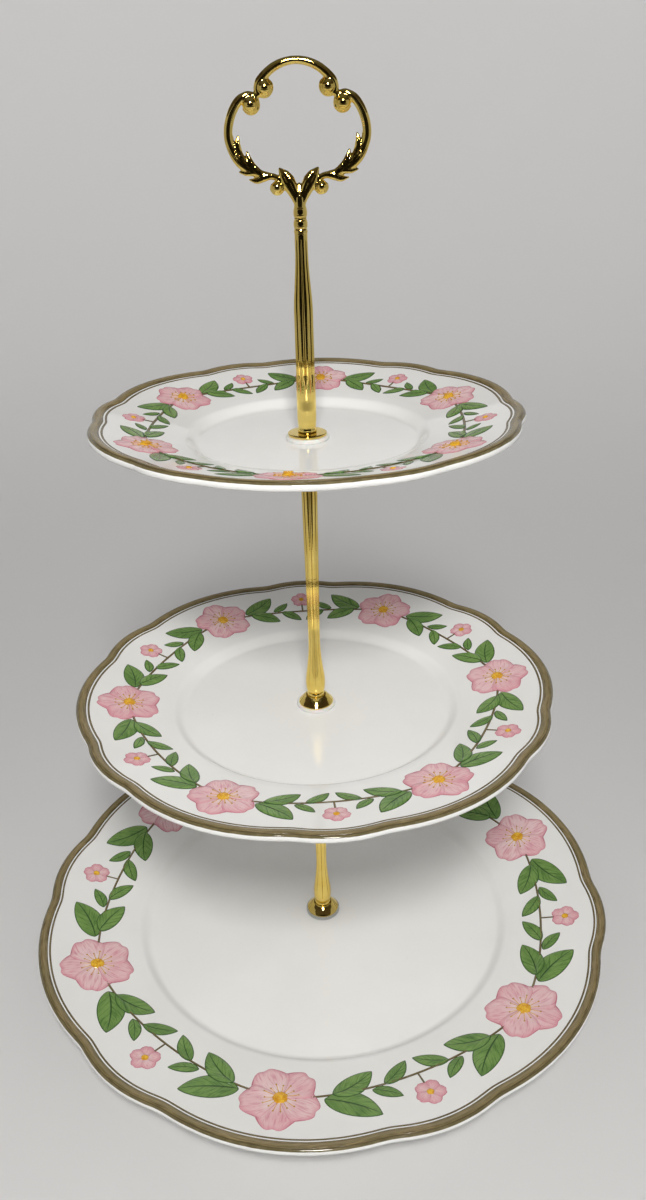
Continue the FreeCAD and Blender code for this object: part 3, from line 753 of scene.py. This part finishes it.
def decorate(p):
    relief = Relief(p)
    groups = {k: Group(p, relief) for k in ("band", "leaves", "petals", "stamens")}
    groups["eyes"], groups["beads"] = Beads(p, relief), Beads(p, relief)
    inner, outer = p.well + p.verge_w + 1.0, p.notch - 7.0
    room, mid = outer - inner, 0.5 * (inner + outer)
    size = 0.56 * room
    step = math.pi / 6

    # the plain edge band and the fine line inside it
    n = int(TAU * p.edge / 1.1)
    ang = np.arange(n + 1) * TAU / n
    big = p.radius(ang)
    for off, half, high, tag in ((2.65, 1.75, 0.62, 21), (5.35, 0.44, 0.50, 22)):
        r = big - off
        groups["band"].ribbon(np.stack([r * np.cos(ang), r * np.sin(ang)], 1), np.full(n + 1, half), high, hash01(p.seed, tag), cols=11)

    def spot(a, r):
        return r * math.cos(a), r * math.sin(a)

    for sector in range(6):
        narrow = math.radians(p.first) + sector * TAU / 6
        broad = narrow + step
        # the swag from this blossom to the next, lowest below the floret
        a = broad + np.linspace(0.0, 2 * step, 46)
        r = mid - 0.17 * room * np.sin((a - broad) / (2 * step) * math.pi)
        groups["band"].ribbon(np.stack([r * np.cos(a), r * np.sin(a)], 1), np.full(46, 0.52), 0.9, hash01(p.seed, sector, 3))
        a = np.linspace(narrow, narrow, 8)
        r = np.linspace(mid - 0.17 * room, mid + 0.10 * room, 8)
        groups["band"].ribbon(np.stack([r * np.cos(a), r * np.sin(a)], 1), np.full(8, 0.42), 0.9, hash01(p.seed, sector, 4))
    for sector in range(6):
        broad = math.radians(p.first) + sector * TAU / 6 + step
        for hand in (-1, 1):
            for i, (t0, r0, t1, r1, wide, bend) in enumerate(((0.30, -0.02, 0.66, 0.34, 0.25, 0.06), (0.36, -0.08, 0.68, -0.42, 0.25, -0.06),
                                                             (0.74, -0.15, 0.97, -0.45, 0.22, -0.05), (0.64, -0.10, 0.83, 0.12, 0.22, 0.05))):
                b = spot(broad + hand * t0 * step, mid + r0 * room)
                e = spot(broad + hand * t1 * step, mid + r1 * room)
                leaf(groups["leaves"], b, e, wide, bend * hand, p.seed * 17.0 + sector * 11 + i + hand)
    for sector in range(6):
        narrow = math.radians(p.first) + sector * TAU / 6
        blossom(groups, spot(narrow + step, mid), size, narrow + step, p.seed * 29.0 + sector * 7)
        blossom(groups, spot(narrow, mid + 0.20 * room), 0.40 * size, narrow, p.seed * 31.0 + sector * 7)
    for key, material in (("band", BAND), ("leaves", LEAF), ("petals", PETAL), ("stamens", STAMEN), ("eyes", STAMEN), ("beads", DOTS)):
        groups[key].build(p.key + "_" + key, material)


for plate in PLATES.values():
    decorate(plate)


# =====================================================================
# turned hardware
# =====================================================================
def smooth_profile(points, step):
    """Resample an outline (r, z) as a smooth curve through its points."""
    pts = np.array(points, float)
    z = pts[:, 1]
    out_z = np.arange(z[0], z[-1] + 1e-9, step)
    if out_z[-1] < z[-1] - 1e-6:
        out_z = np.append(out_z, z[-1])
    # monotone cubic through the points
    dx = np.diff(z)
    m = np.diff(pts[:, 0]) / dx
    tang = np.zeros(len(z))
    tang[0], tang[-1] = m[0], m[-1]
    for i in range(1, len(z) - 1):
        tang[i] = 0.0 if m[i - 1] * m[i] <= 0 else 2 * m[i - 1] * m[i] / (m[i - 1] + m[i])
    idx = np.clip(np.searchsorted(z, out_z, side="right") - 1, 0, len(z) - 2)
    t = (out_z - z[idx]) / dx[idx]
    h00, h10 = 2 * t**3 - 3 * t**2 + 1, t**3 - 2 * t**2 + t
    h01, h11 = -2 * t**3 + 3 * t**2, t**3 - t**2
    r = h00 * pts[idx, 0] + h10 * dx[idx] * tang[idx] + h01 * pts[idx + 1, 0] + h11 * dx[idx] * tang[idx + 1]
    return r, out_z


def reeded(name, profile, low, n_ribs, depth, flute_low, flute_high, dart, hole, phase=0.0, step=0.45, seg=192):
    """A turned bar with rounded ribs. Each valley between ribs ends in a dart."""
    r, z = smooth_profile(profile, step)
    ang = np.arange(seg) * TAU / seg + phase
    phi = ((ang * n_ribs / TAU) % 1.0) * 2 - 1          # 0 on a rib's crown, +-1 in a valley
    dist = 1 - np.abs(phi)                              # 0 in a valley, 1 on a crown
    rows, flutes = [], []
    for radius, height in zip(r, z):
        a = np.clip((height - flute_low) / dart, 0, 1)
        b = np.clip((flute_high - height) / dart, 0, 1)
        k = min(a, b)
        wide = max(k, 1e-4)
        local = np.clip(dist / wide, 0, 1)
        valley = (1 - np.sqrt(np.clip(1 - (1 - local) ** 2, 0, 1))) * depth * (0.55 + 0.45 * k) * (1 if k > 0 else 0)
        rad = radius - valley * radius / 3.4
        rows.append(np.stack([rad * np.cos(ang), rad * np.sin(ang), np.full(seg, low + height)], 1))
        flutes.append(valley / depth)
    # cap rings: in to the drilled hole at both ends
    flutes = [np.zeros(seg)] * 2 + flutes + [np.zeros(seg)] * 2
    for end in (0, -1):
        base = rows[end]
        zz = base[0, 2]
        ring = np.stack([hole * np.cos(ang), hole * np.sin(ang), np.full(seg, zz)], 1)
        deep = ring.copy()
        deep[:, 2] += 8.0 if end == 0 else -7.0
        if end == 0:
            rows = [deep, ring] + rows
        else:
            rows = rows + [ring, deep]
    verts = np.concatenate(rows)
    faces = grid_faces(len(rows), seg, wrap_cols=True)
    first, final = 0, (len(rows) - 1) * seg
    faces.append(tuple(range(seg - 1, -1, -1)))
    faces.append(tuple(final + j for j in range(seg)))
    obj = mesh_object(name, verts, faces)
    outward(obj)
    add_floats(obj, flute=np.concatenate(flutes))
    mark_sharp(obj, 38.0)
    return obj


def mark_sharp(obj, angle):
    mesh = obj.data
    bm = bmesh.new()
    bm.from_mesh(mesh)
    limit = math.radians(angle)
    for e in bm.edges:
        if len(e.link_faces) == 2 and e.calc_face_angle(0.0) > limit:
            e.smooth = False
    bm.to_mesh(mesh)
    bm.free()


def lathe(name, outline, seg=128, closed=True):
    """Turn a closed outline of (r, z) points about the column's axis."""
    pts = np.array(outline, float)
    ang = np.arange(seg) * TAU / seg
    rows = [np.stack([r * np.cos(ang), r * np.sin(ang), np.full(seg, z)], 1) for r, z in pts]
    verts = np.concatenate(rows)
    faces = grid_faces(len(rows), seg, wrap_cols=True)
    if closed:
        last = (len(rows) - 1) * seg
        for j in range(seg):
            k = (j + 1) % seg
            faces.append((last + j, last + k, k, j))
    obj = mesh_object(name, verts, faces)
    outward(obj)
    mark_sharp(obj, 40.0)
    return obj


def rounded(points, radius, steps=4):
    """Round the corners of a closed outline."""
    pts = [np.array(p, float) for p in points]
    result = []
    n = len(pts)
    for i in range(n):
        a, b, c = pts[i - 1], pts[i], pts[(i + 1) % n]
        u, v = a - b, c - b
        lu, lv = np.linalg.norm(u), np.linalg.norm(v)
        cut = min(radius, lu * 0.45, lv * 0.45)
        p0, p2 = b + u / lu * cut, b + v / lv * cut
        for k in range(steps + 1):
            t = k / steps
            result.append((1 - t) ** 2 * p0 + 2 * t * (1 - t) * b + t * t * p2)
    return result


ROD_L = 108.3
ROD_PROFILE = [(3.55, 0.0), (3.72, 0.22), (3.75, 0.6), (3.68, 1.0), (3.46, 1.25), (3.62, 1.7), (3.95, 3.2), (4.15, 5.6),
               (4.10, 8.0), (3.80, 11.0), (3.35, 14.5), (2.92, 18.5), (2.62, 23.0), (2.52, 27.0), (2.58, 34.0),
               (2.74, 46.0), (2.92, 62.0), (3.10, 78.0), (3.24, 92.0), (3.34, 101.0), (3.35, 106.5), (3.32, 107.9), (3.05, 108.3)]


def build_rod(name, node_name, low, body, phase):
    obj = reeded(name, ROD_PROFILE, low, 8, 0.56, 4.2, 104.5, 7.5, 2.04, phase)
    return finish_piece(obj, GOLD, body, (node_name,))


build_rod("lower_rod_reeded", "lower_rod", 12.9, "lower_column", 0.20)
build_rod("middle_rod_reeded", "middle_rod", 132.6, "middle_column", 0.05)

STEM_LOW = 249.4
STEM_PROFILE = [(3.50, 0.0), (3.60, 0.2), (3.60, 1.35), (3.45, 1.65), (3.32, 2.0), (3.38, 3.0), (3.56, 4.6), (3.60, 7.0), (3.60, 30.0),
                (3.58, 44.0), (3.42, 48.5), (3.10, 52.5), (2.78, 56.5), (2.48, 61.0), (2.34, 66.0), (2.26, 70.4),
                (2.24, 70.9), (2.38, 71.15), (2.46, 71.5), (2.44, 71.9), (2.18, 72.15), (2.15, 72.4), (2.36, 72.9), (2.46, 73.6),
                (2.44, 74.4), (2.26, 75.1), (2.10, 75.5), (2.10, 75.8)]
stem = reeded("handle_stem_reeded", STEM_PROFILE, STEM_LOW, 8, 0.62, 17.2, 69.5, 5.0, 2.04, 0.12)
finish_piece(stem, GOLD, "handle", ("handle_stem",))


def cup(name, node_name, low, body):
    outline = rounded([(6.55, low), (7.4, low), (7.4, low + 0.45), (5.6, low + 2.5), (4.25, low + 3.8), (2.1, low + 3.8),
                       (2.1, low + 3.05), (3.75, low + 3.05), (5.2, low + 1.9)], 0.35, 5)
    return finish_piece(lathe(name, outline), GOLD, body, (node_name,))


cup("bottom_cup_pressed", "bottom_cup_washer", 9.1, "bottom_cup")
cup("middle_cup_pressed", "middle_cup_washer", 128.8, "middle_cup")


def pad(name, node_name, low, outer, body, material):
    outline = rounded([(2.1, low - 1.5), (2.95, low - 1.5), (2.95, low), (outer, low), (outer, low + 1.6), (2.1, low + 1.6)], 0.42, 5)
    return finish_piece(lathe(name, outline), material, body, (node_name,))


pad("bottom_pad_clear", "bottom_pad_washer", 7.5, 8.0, "bottom_dish", CLEAR_PLASTIC)
pad("middle_pad_white", "middle_pad_washer", 127.2, 8.3, "lower_column", WHITE_PLASTIC)
pad("top_pad_white", "top_pad_washer", 246.9, 8.3, "middle_column", WHITE_PLASTIC)


def disc(name, node_name, low, inner, outer, thick, body, material, ease=0.18):
    outline = rounded([(inner, low), (outer, low), (outer, low + thick), (inner, low + thick)], ease, 4)
    return finish_piece(lathe(name, outline), material, body, (node_name,))


disc("top_flange_disc", "top_flange_washer", 248.5, 2.1, 7.35, 0.9, "top_flange", GOLD, 0.25)
disc("middle_support_disc", "middle_support_washer", 121.2, 2.1, 7.0, 1.0, "lower_column", GOLD, 0.25)
disc("top_support_disc", "top_support_washer", 240.9, 2.1, 7.0, 1.0, "middle_column", GOLD, 0.25)
disc("middle_under_disc", "middle_under_washer", 122.2, 2.1, 8.0, 1.2, "lower_column", WHITE_PLASTIC, 0.35)
disc("top_under_disc", "top_under_washer", 241.9, 2.1, 8.0, 1.2, "middle_column", WHITE_PLASTIC, 0.35)
disc("bottom_under_disc", "bottom_under_washer", 2.9, 2.1, 9.5, 0.8, "bottom_dish", CLEAR_PLASTIC, 0.25)


def threaded(name, low, high, radius=1.995, pitch=0.7, seg=48, per=6):
    """A bar with a real helical thread, plain at its very ends."""
    rows = []
    count = int((high - low) / pitch * per)
    ang = np.arange(seg) * TAU / seg
    for i in range(count + 1):
        z = low + (high - low) * i / count
        ease = min(1.0, (z - low) / 0.6, (high - z) / 0.6)
        phase = (z - low) / pitch - ang / TAU
        saw = np.abs((phase % 1.0) * 2 - 1)
        depth = 0.43 * np.clip(saw * 1.25 - 0.15, 0, 1)
        end = 0.35 * (1 - ease)
        r = radius - np.maximum(depth, end)
        rows.append(np.stack([r * np.cos(ang), r * np.sin(ang), np.full(seg, z)], 1))
    verts = np.concatenate(rows)
    faces = grid_faces(len(rows), seg, wrap_cols=True)
    faces.append(tuple(range(seg - 1, -1, -1)))
    final = (len(rows) - 1) * seg
    faces.append(tuple(final + j for j in range(seg)))
    obj = mesh_object(name, verts, faces)
    return outward(obj)


finish_piece(threaded("lower_stud_threaded", 113.2, 139.1), STEEL, "lower_column", ("lower_stud",))
finish_piece(threaded("upper_stud_threaded", 232.9, 255.9), STEEL, "middle_column", ("upper_stud",))

screw_thread = threaded("base_screw_thread", 3.3, 19.4)
finish_piece(screw_thread, STEEL, "bottom_dish")


def screw_head():
    """A low round head with a six-sided drive recess."""
    seg = 96
    ang = np.arange(seg) * TAU / seg
    hexa = 3.0 / np.cos((ang + math.pi / 6) % (math.pi / 3) - math.pi / 6)

    def ring(r, z):
        r = r * np.ones(seg)
        return np.stack([r * np.cos(ang), r * np.sin(ang), np.full(seg, z)], 1)

    rows = [ring(0.02, 2.1), ring(hexa - 0.25, 2.1), ring(hexa, 1.95), ring(hexa, 1.05), ring(hexa + 0.15, 0.9),
            ring(5.8, 0.9), ring(6.5, 1.05), ring(6.9, 1.5), ring(7.0, 2.0), ring(7.0, 2.75), ring(6.85, 2.9),
            ring(1.9, 2.9), ring(1.9, 3.6), ring(0.02, 3.6)]
    obj = mesh_object("base_screw_head", np.concatenate(rows), grid_faces(len(rows), seg, wrap_cols=True)
                      + [tuple(range(seg - 1, -1, -1)), tuple((len(rows) - 1) * seg + j for j in range(seg))])
    outward(obj)
    mark_sharp(obj, 35.0)
    return obj


finish_piece(screw_head(), STEEL, "bottom_dish", ("base_screw",))


# =====================================================================
# cast ring handle
# =====================================================================
def bar(path, half, depth, groove=0.0, seg=20):
    """A closed bar swept along a path in the XZ plane. half and depth are its
    half widths in the plane and across it."""
    path = np.asarray(path, float)
    n = len(path)
    half, depth = np.broadcast_to(half, n), np.broadcast_to(depth, n)
    tang = np.gradient(path, axis=0)
    tang /= np.linalg.norm(tang, axis=1, keepdims=True)
    side = np.stack([tang[:, 1], -tang[:, 0]], 1)
    phi = np.arange(seg) * TAU / seg
    cut = 1 - groove * np.exp(-(np.cos(phi) / 0.28) ** 2)
    rows = []
    for i in range(n):
        u = np.cos(phi) * half[i]
        w = np.sin(phi) * depth[i] * cut
        rows.append(np.stack([path[i, 0] + side[i, 0] * u, w, path[i, 1] + side[i, 1] * u], 1))
    verts = np.concatenate(rows)
    faces = grid_faces(n, seg, wrap_cols=True)
    faces.append(tuple(range(seg - 1, -1, -1)))
    faces.append(tuple((n - 1) * seg + j for j in range(seg)))
    return verts, faces


def curve_points(points, step=0.35):
    return smooth_path(points, step)


def along(n, *pairs):
    f = np.linspace(0, 1, n)
    return np.interp(f, [a for a, _ in pairs], [b for _, b in pairs])


def ball(cx, cz, r, squash=1.0):
    rows = []
    seg, rings = 32, 18
    for i in range(rings + 1):
        t = math.pi * min(max(i / rings, 0.02), 0.98)
        ang = np.arange(seg) * TAU / seg
        rows.append(np.stack([cx + r * math.sin(t) * np.cos(ang), r * squash * math.sin(t) * np.sin(ang),
                              np.full(seg, cz + r * math.cos(t))], 1))
    faces = grid_faces(len(rows), seg, wrap_cols=True)
    faces.append(tuple(range(seg - 1, -1, -1)))
    faces.append(tuple((len(rows) - 1) * seg + j for j in range(seg)))
    return np.concatenate(rows), faces


def turned_part(points, seg=40):
    ang = np.arange(seg) * TAU / seg
    rows = [np.stack([r * np.cos(ang), r * np.sin(ang), np.full(seg, z)], 1) for r, z in points]
    faces = grid_faces(len(rows), seg, wrap_cols=True)
    faces.append(tuple(range(seg - 1, -1, -1)))
    faces.append(tuple((len(rows) - 1) * seg + j for j in range(seg)))
    return np.concatenate(rows), faces


def cast_ring():
    parts = []
    # crown, a little heavier at its shoulders
    right_half = [(0.0, 372.85), (3.7, 372.35), (7.2, 370.95), (10.0, 368.9), (11.9, 366.8), (12.75, 364.6), (12.3, 363.3)]
    crown = curve_points([(-x, z) for x, z in right_half[:0:-1]] + right_half)
    n = len(crown)
    parts.append(bar(crown, along(n, (0, 1.0), (0.10, 1.55), (0.5, 1.22), (0.90, 1.55), (1, 1.0)),
                     along(n, (0, 1.1), (0.12, 1.6), (0.5, 1.30), (0.88, 1.6), (1, 1.1))))
    for m in (1, -1):
        def put_bar(points, half, depth, groove=0.0, step=0.35):
            path = curve_points([(m * x, z) for x, z in points], step)
            k = len(path)
            parts.append(bar(path, along(k, *half), along(k, *depth), groove))

        # side arc, from the upper scroll round to the foot scroll
        put_bar([(13.6, 362.9), (15.2, 363.35), (17.0, 362.85), (19.1, 361.4), (20.9, 359.0), (22.2, 356.1), (22.95, 353.0), (22.9, 349.7),
                 (21.7, 346.0), (19.7, 343.1), (16.8, 340.9), (13.3, 339.5), (9.9, 338.75), (7.6, 338.2), (5.9, 336.7), (5.6, 335.0), (6.6, 333.4)],
                [(0, 0.7), (0.05, 1.15), (0.12, 1.50), (0.30, 1.50), (0.48, 1.45), (0.60, 1.55), (0.70, 1.50), (0.80, 1.20), (0.90, 0.95), (1, 0.5)],
                [(0, 0.9), (0.08, 1.5), (0.30, 1.45), (0.55, 1.25), (0.78, 1.10), (1, 0.7)])
        # scroll balls, each with a raised turn round it
        for cx, cz, r in ((10.3, 365.2, 2.75), (15.2, 360.4, 2.85), (7.6, 335.1, 2.25)):
            parts.append(ball(m * cx, cz, r * 0.93))
        put_bar([(12.9, 365.6), (12.6, 363.7), (11.0, 362.75), (9.2, 363.0), (7.95, 364.5), (8.0, 366.4), (9.3, 367.6)],
                [(0, 0.8), (0.5, 0.62), (1, 0.35)], [(0, 1.3), (0.5, 1.0), (1, 0.5)])
        put_bar([(14.0, 362.9), (12.75, 361.3), (12.8, 359.2), (14.3, 357.8), (16.3, 357.9), (17.7, 359.3)],
                [(0, 0.7), (0.5, 0.62), (1, 0.35)], [(0, 1.2), (0.5, 1.0), (1, 0.5)])
        put_bar([(5.6, 336.3), (5.55, 334.4), (6.9, 333.1), (8.6, 333.3), (9.65, 334.6), (9.4, 336.2)],
                [(0, 0.6), (0.5, 0.50), (1, 0.3)], [(0, 1.0), (0.5, 0.8), (1, 0.4)])
        # a neck of metal between the two upper scrolls
        put_bar([(11.9, 363.6), (13.9, 362.3)], [(0, 1.0), (1, 1.0)], [(0, 1.3), (1, 1.3)])
        # leaves that hug the lower arc
        put_bar([(15.0, 341.0), (18.1, 343.0), (19.75, 346.0), (20.15, 348.8), (19.7, 351.4)],
                [(0, 0.9), (0.35, 1.40), (0.7, 1.20), (0.9, 0.75), (1, 0.25)], [(0, 0.9), (0.4, 1.6), (0.8, 1.1), (1, 0.4)], 0.30)
        put_bar([(17.8, 341.8), (20.6, 345.3), (21.6, 348.6), (21.5, 351.3)],
                [(0, 0.6), (0.4, 0.9), (0.8, 0.5), (1, 0.15)], [(0, 0.8), (0.4, 1.6), (1, 0.4)])
        put_bar([(10.8, 339.0), (13.6, 340.1), (15.7, 342.3), (16.7, 344.6), (17.2, 346.6)],
                [(0, 0.8), (0.35, 1.30), (0.7, 1.10), (0.9, 0.70), (1, 0.25)], [(0, 0.8), (0.4, 1.55), (0.8, 1.0), (1, 0.4)], 0.25)
        put_bar([(12.6, 339.6), (15.2, 340.1), (17.6, 339.9), (20.2, 340.2)],
                [(0, 0.9), (0.35, 1.35), (0.7, 1.00), (1, 0.22)], [(0, 1.0), (0.4, 1.5), (1, 0.40)], 0.20)
        put_bar([(8.6, 338.8), (11.4, 338.4), (14.2, 337.4), (17.0, 337.8)],
                [(0, 0.9), (0.35, 1.35), (0.7, 1.00), (1, 0.22)], [(0, 1.0), (0.4, 1.5), (1, 0.40)], 0.20)
        # the fork: two broad leaves that rise from the neck
        put_bar([(0.45, 329.6), (1.15, 331.6), (2.2, 334.0), (3.4, 336.3), (4.7, 338.5), (5.9, 340.1), (6.7, 341.2)],
                [(0, 1.40), (0.2, 1.70), (0.45, 2.30), (0.65, 2.50), (0.82, 1.90), (0.94, 0.90), (1, 0.25)],
                [(0, 1.7), (0.3, 1.75), (0.6, 1.9), (0.85, 1.2), (1, 0.35)], 0.22)
        put_bar([(1.3, 330.4), (2.7, 333.0), (4.2, 335.6), (5.6, 338.0), (6.3, 339.9)],
                [(0, 0.6), (0.5, 0.75), (0.9, 0.45), (1, 0.15)], [(0, 1.2), (0.5, 1.5), (1, 0.4)])
    parts.append(turned_part([(0.4, 325.2), (2.05, 325.2), (2.16, 325.5), (2.36, 326.1), (2.44, 327.0), (2.34, 327.9), (2.14, 328.7),
                              (2.00, 329.3), (1.95, 330.2), (1.80, 332.0), (1.3, 334.0), (0.6, 336.0), (0.3, 336.6)]))
    verts, faces, start = [], [], 0
    for v, f in parts:
        verts.append(v)
        faces += [tuple(i + start for i in face) for face in f]
        start += len(v)
    rough = mesh_object("ring_rough", np.concatenate(verts), faces)
    outward(rough)
    mod = rough.modifiers.new("fuse", "REMESH")
    mod.mode = "VOXEL"
    mod.voxel_size = 0.00021
    ease = rough.modifiers.new("ease", "SMOOTH")
    ease.factor = 0.5
    ease.iterations = 7
    fused = bpy.data.meshes.new_from_object(rough.evaluated_get(bpy.context.evaluated_depsgraph_get()))
    bpy.data.objects.remove(rough)
    fused.name = "handle_ring_cast"
    fused.polygons.foreach_set("use_smooth", [True] * len(fused.polygons))
    obj = bpy.data.objects.new("handle_ring_cast", fused)
    bpy.context.scene.collection.objects.link(obj)
    print("ring faces", len(fused.polygons))
    return finish_piece(obj, GOLD, "handle", ("handle_ring",))


cast_ring()


# =====================================================================
# floor, lights, camera
# =====================================================================
def bowl():
    """A pale floor that curves up into a wall all round."""
    seg = 96
    ang = np.arange(seg) * TAU / seg
    prof = [(0.0001, 0.0), (0.3, 0.0), (0.7, 0.0), (1.0, 0.0)]
    for k in range(1, 17):
        t = math.pi / 2 * k / 16
        prof.append((1.0 + 1.0 * math.sin(t), 1.0 - 1.0 * math.cos(t)))
    prof += [(2.0, 1.6), (2.0, 2.6)]
    rows = [np.stack([r * np.cos(ang), r * np.sin(ang), np.full(seg, z)], 1) for r, z in prof]
    obj = mesh_object("floor", np.concatenate(rows), grid_faces(len(rows), seg, wrap_cols=True), scale=1.0)
    mat, nt, bsdf = new_material("floor_pale")
    cloud = noise(nt, coords(nt), 1.4, 2.0)
    link(nt, blend_colour(nt, cloud, (0.69, 0.686, 0.682), (0.705, 0.701, 0.697)), bsdf.inputs["Base Color"])
    bsdf.inputs["Roughness"].default_value = 0.85
    obj.data.materials.append(mat)
    return obj


def flag(name, verts, faces, shade=0.012):
    """A dark card that shows only in the reflections of polished surfaces."""
    obj = mesh_object(name, verts, faces, smooth=False, scale=1.0)
    mat, nt, bsdf = new_material(name + "_cloth")
    bsdf.inputs["Base Color"].default_value = (shade, shade * 0.78, shade * 0.62, 1)
    bsdf.inputs["Roughness"].default_value = 0.9
    obj.data.materials.append(mat)
    obj.visible_camera = False
    obj.visible_diffuse = False
    obj.visible_shadow = False
    obj.visible_transmission = False
    return obj


flag("flag_front", [(-1.1, -1.05, 0.002), (1.1, -1.05, 0.002), (1.1, -1.05, 0.74), (-1.1, -1.05, 0.74)], [(0, 1, 2, 3)])
flag("flag_low", [(-1.0, -1.05, 0.004), (1.0, -1.05, 0.004), (1.0, -0.42, 0.004), (-1.0, -0.42, 0.004)], [(0, 1, 2, 3)], 0.05)
turns = np.arange(48) * TAU / 48
hoop = np.concatenate([np.stack([1.93 * np.cos(turns), 1.93 * np.sin(turns), np.full(48, z)], 1) for z in (1.0, 2.55)])
flag("flag_hoop", hoop, grid_faces(2, 48, wrap_cols=True), 0.10)
bowl()


def area(name, loc, aim, size, power, colour=(1, 1, 1), size_y=None):
    data = bpy.data.lights.new(name, "AREA")
    data.shape = "RECTANGLE"
    data.size = size
    data.size_y = size_y or size
    data.energy = power
    data.color = colour
    obj = bpy.data.objects.new(name, data)
    obj.location = loc
    obj.rotation_euler = (Vector(aim) - Vector(loc)).to_track_quat("-Z", "Y").to_euler()
    bpy.context.scene.collection.objects.link(obj)
    return obj


def soft(obj):
    """This light brightens but doesn't show in reflections."""
    obj.visible_glossy = False
    return obj


KEY_AT = (0.012, -0.53, 0.677)
soft(area("key", KEY_AT, (0, 0, 0.10), 0.135, 4.25, (1.0, 0.985, 0.965)))
# the key's own reflection, kept low enough that the glaze doesn't burn out
glint = area("key_glint", (0.0118, -0.5205, 0.6657), (0, 0, 0.10), 0.135, 2.6, (1.0, 0.985, 0.965))
glint.visible_diffuse = False
soft(area("fill_left", (-1.3, -0.55, 0.95), (0, 0, 0.15), 0.8, 0.25, (1.0, 0.985, 0.97)))
soft(area("fill_right", (1.3, -0.55, 0.95), (0, 0, 0.15), 0.8, 0.25, (0.97, 0.985, 1.0)))
for side, turn, power in (("back", 90, 13.5), ("left", 180, 4.2), ("right", 0, 4.2), ("front", 270, 6.4)):
    cx, cy = math.cos(math.radians(turn)), math.sin(math.radians(turn))
    soft(area("wash_" + side, (0.75 * cx, 0.75 * cy, 1.55), (2.2 * cx, 2.2 * cy, 0.75), 1.8, power, (1.0, 0.99, 0.985), 0.5))

world = bpy.data.worlds.new("World")
bpy.context.scene.world = world
world.use_nodes = True
bg = world.node_tree.nodes["Background"]
bg.inputs["Color"].default_value = (0.93, 0.945, 0.96, 1)
bg.inputs["Strength"].default_value = 0.12

cam_data = bpy.data.cameras.new("Camera")
cam_data.sensor_fit = "AUTO"
cam_data.sensor_width = 36.0
cam_data.lens = 970.0 / 1200.0 * 36.0
cam_data.clip_start = 0.01
cam_data.clip_end = 50.0
cam = bpy.data.objects.new("Camera", cam_data)
yaw, pitch, roll = math.radians(0.67), math.radians(26.92), math.radians(-1.57)
fwd = Vector((math.sin(yaw) * math.cos(pitch), math.cos(yaw) * math.cos(pitch), -math.sin(pitch)))
right = Vector((math.cos(yaw), -math.sin(yaw), 0.0))
upv = right.cross(fwd)
r2 = math.cos(roll) * right + math.sin(roll) * upv
u2 = -math.sin(roll) * right + math.cos(roll) * upv
rot = Matrix((r2, u2, -fwd)).transposed()
cam.matrix_world = Matrix.Translation(Vector((0.0, -0.357, 0.359))) @ rot.to_4x4()
bpy.context.scene.collection.objects.link(cam)
bpy.context.scene.camera = cam
bpy.context.scene.view_settings.view_transform = "Standard"
bpy.context.scene.view_settings.look = "None"
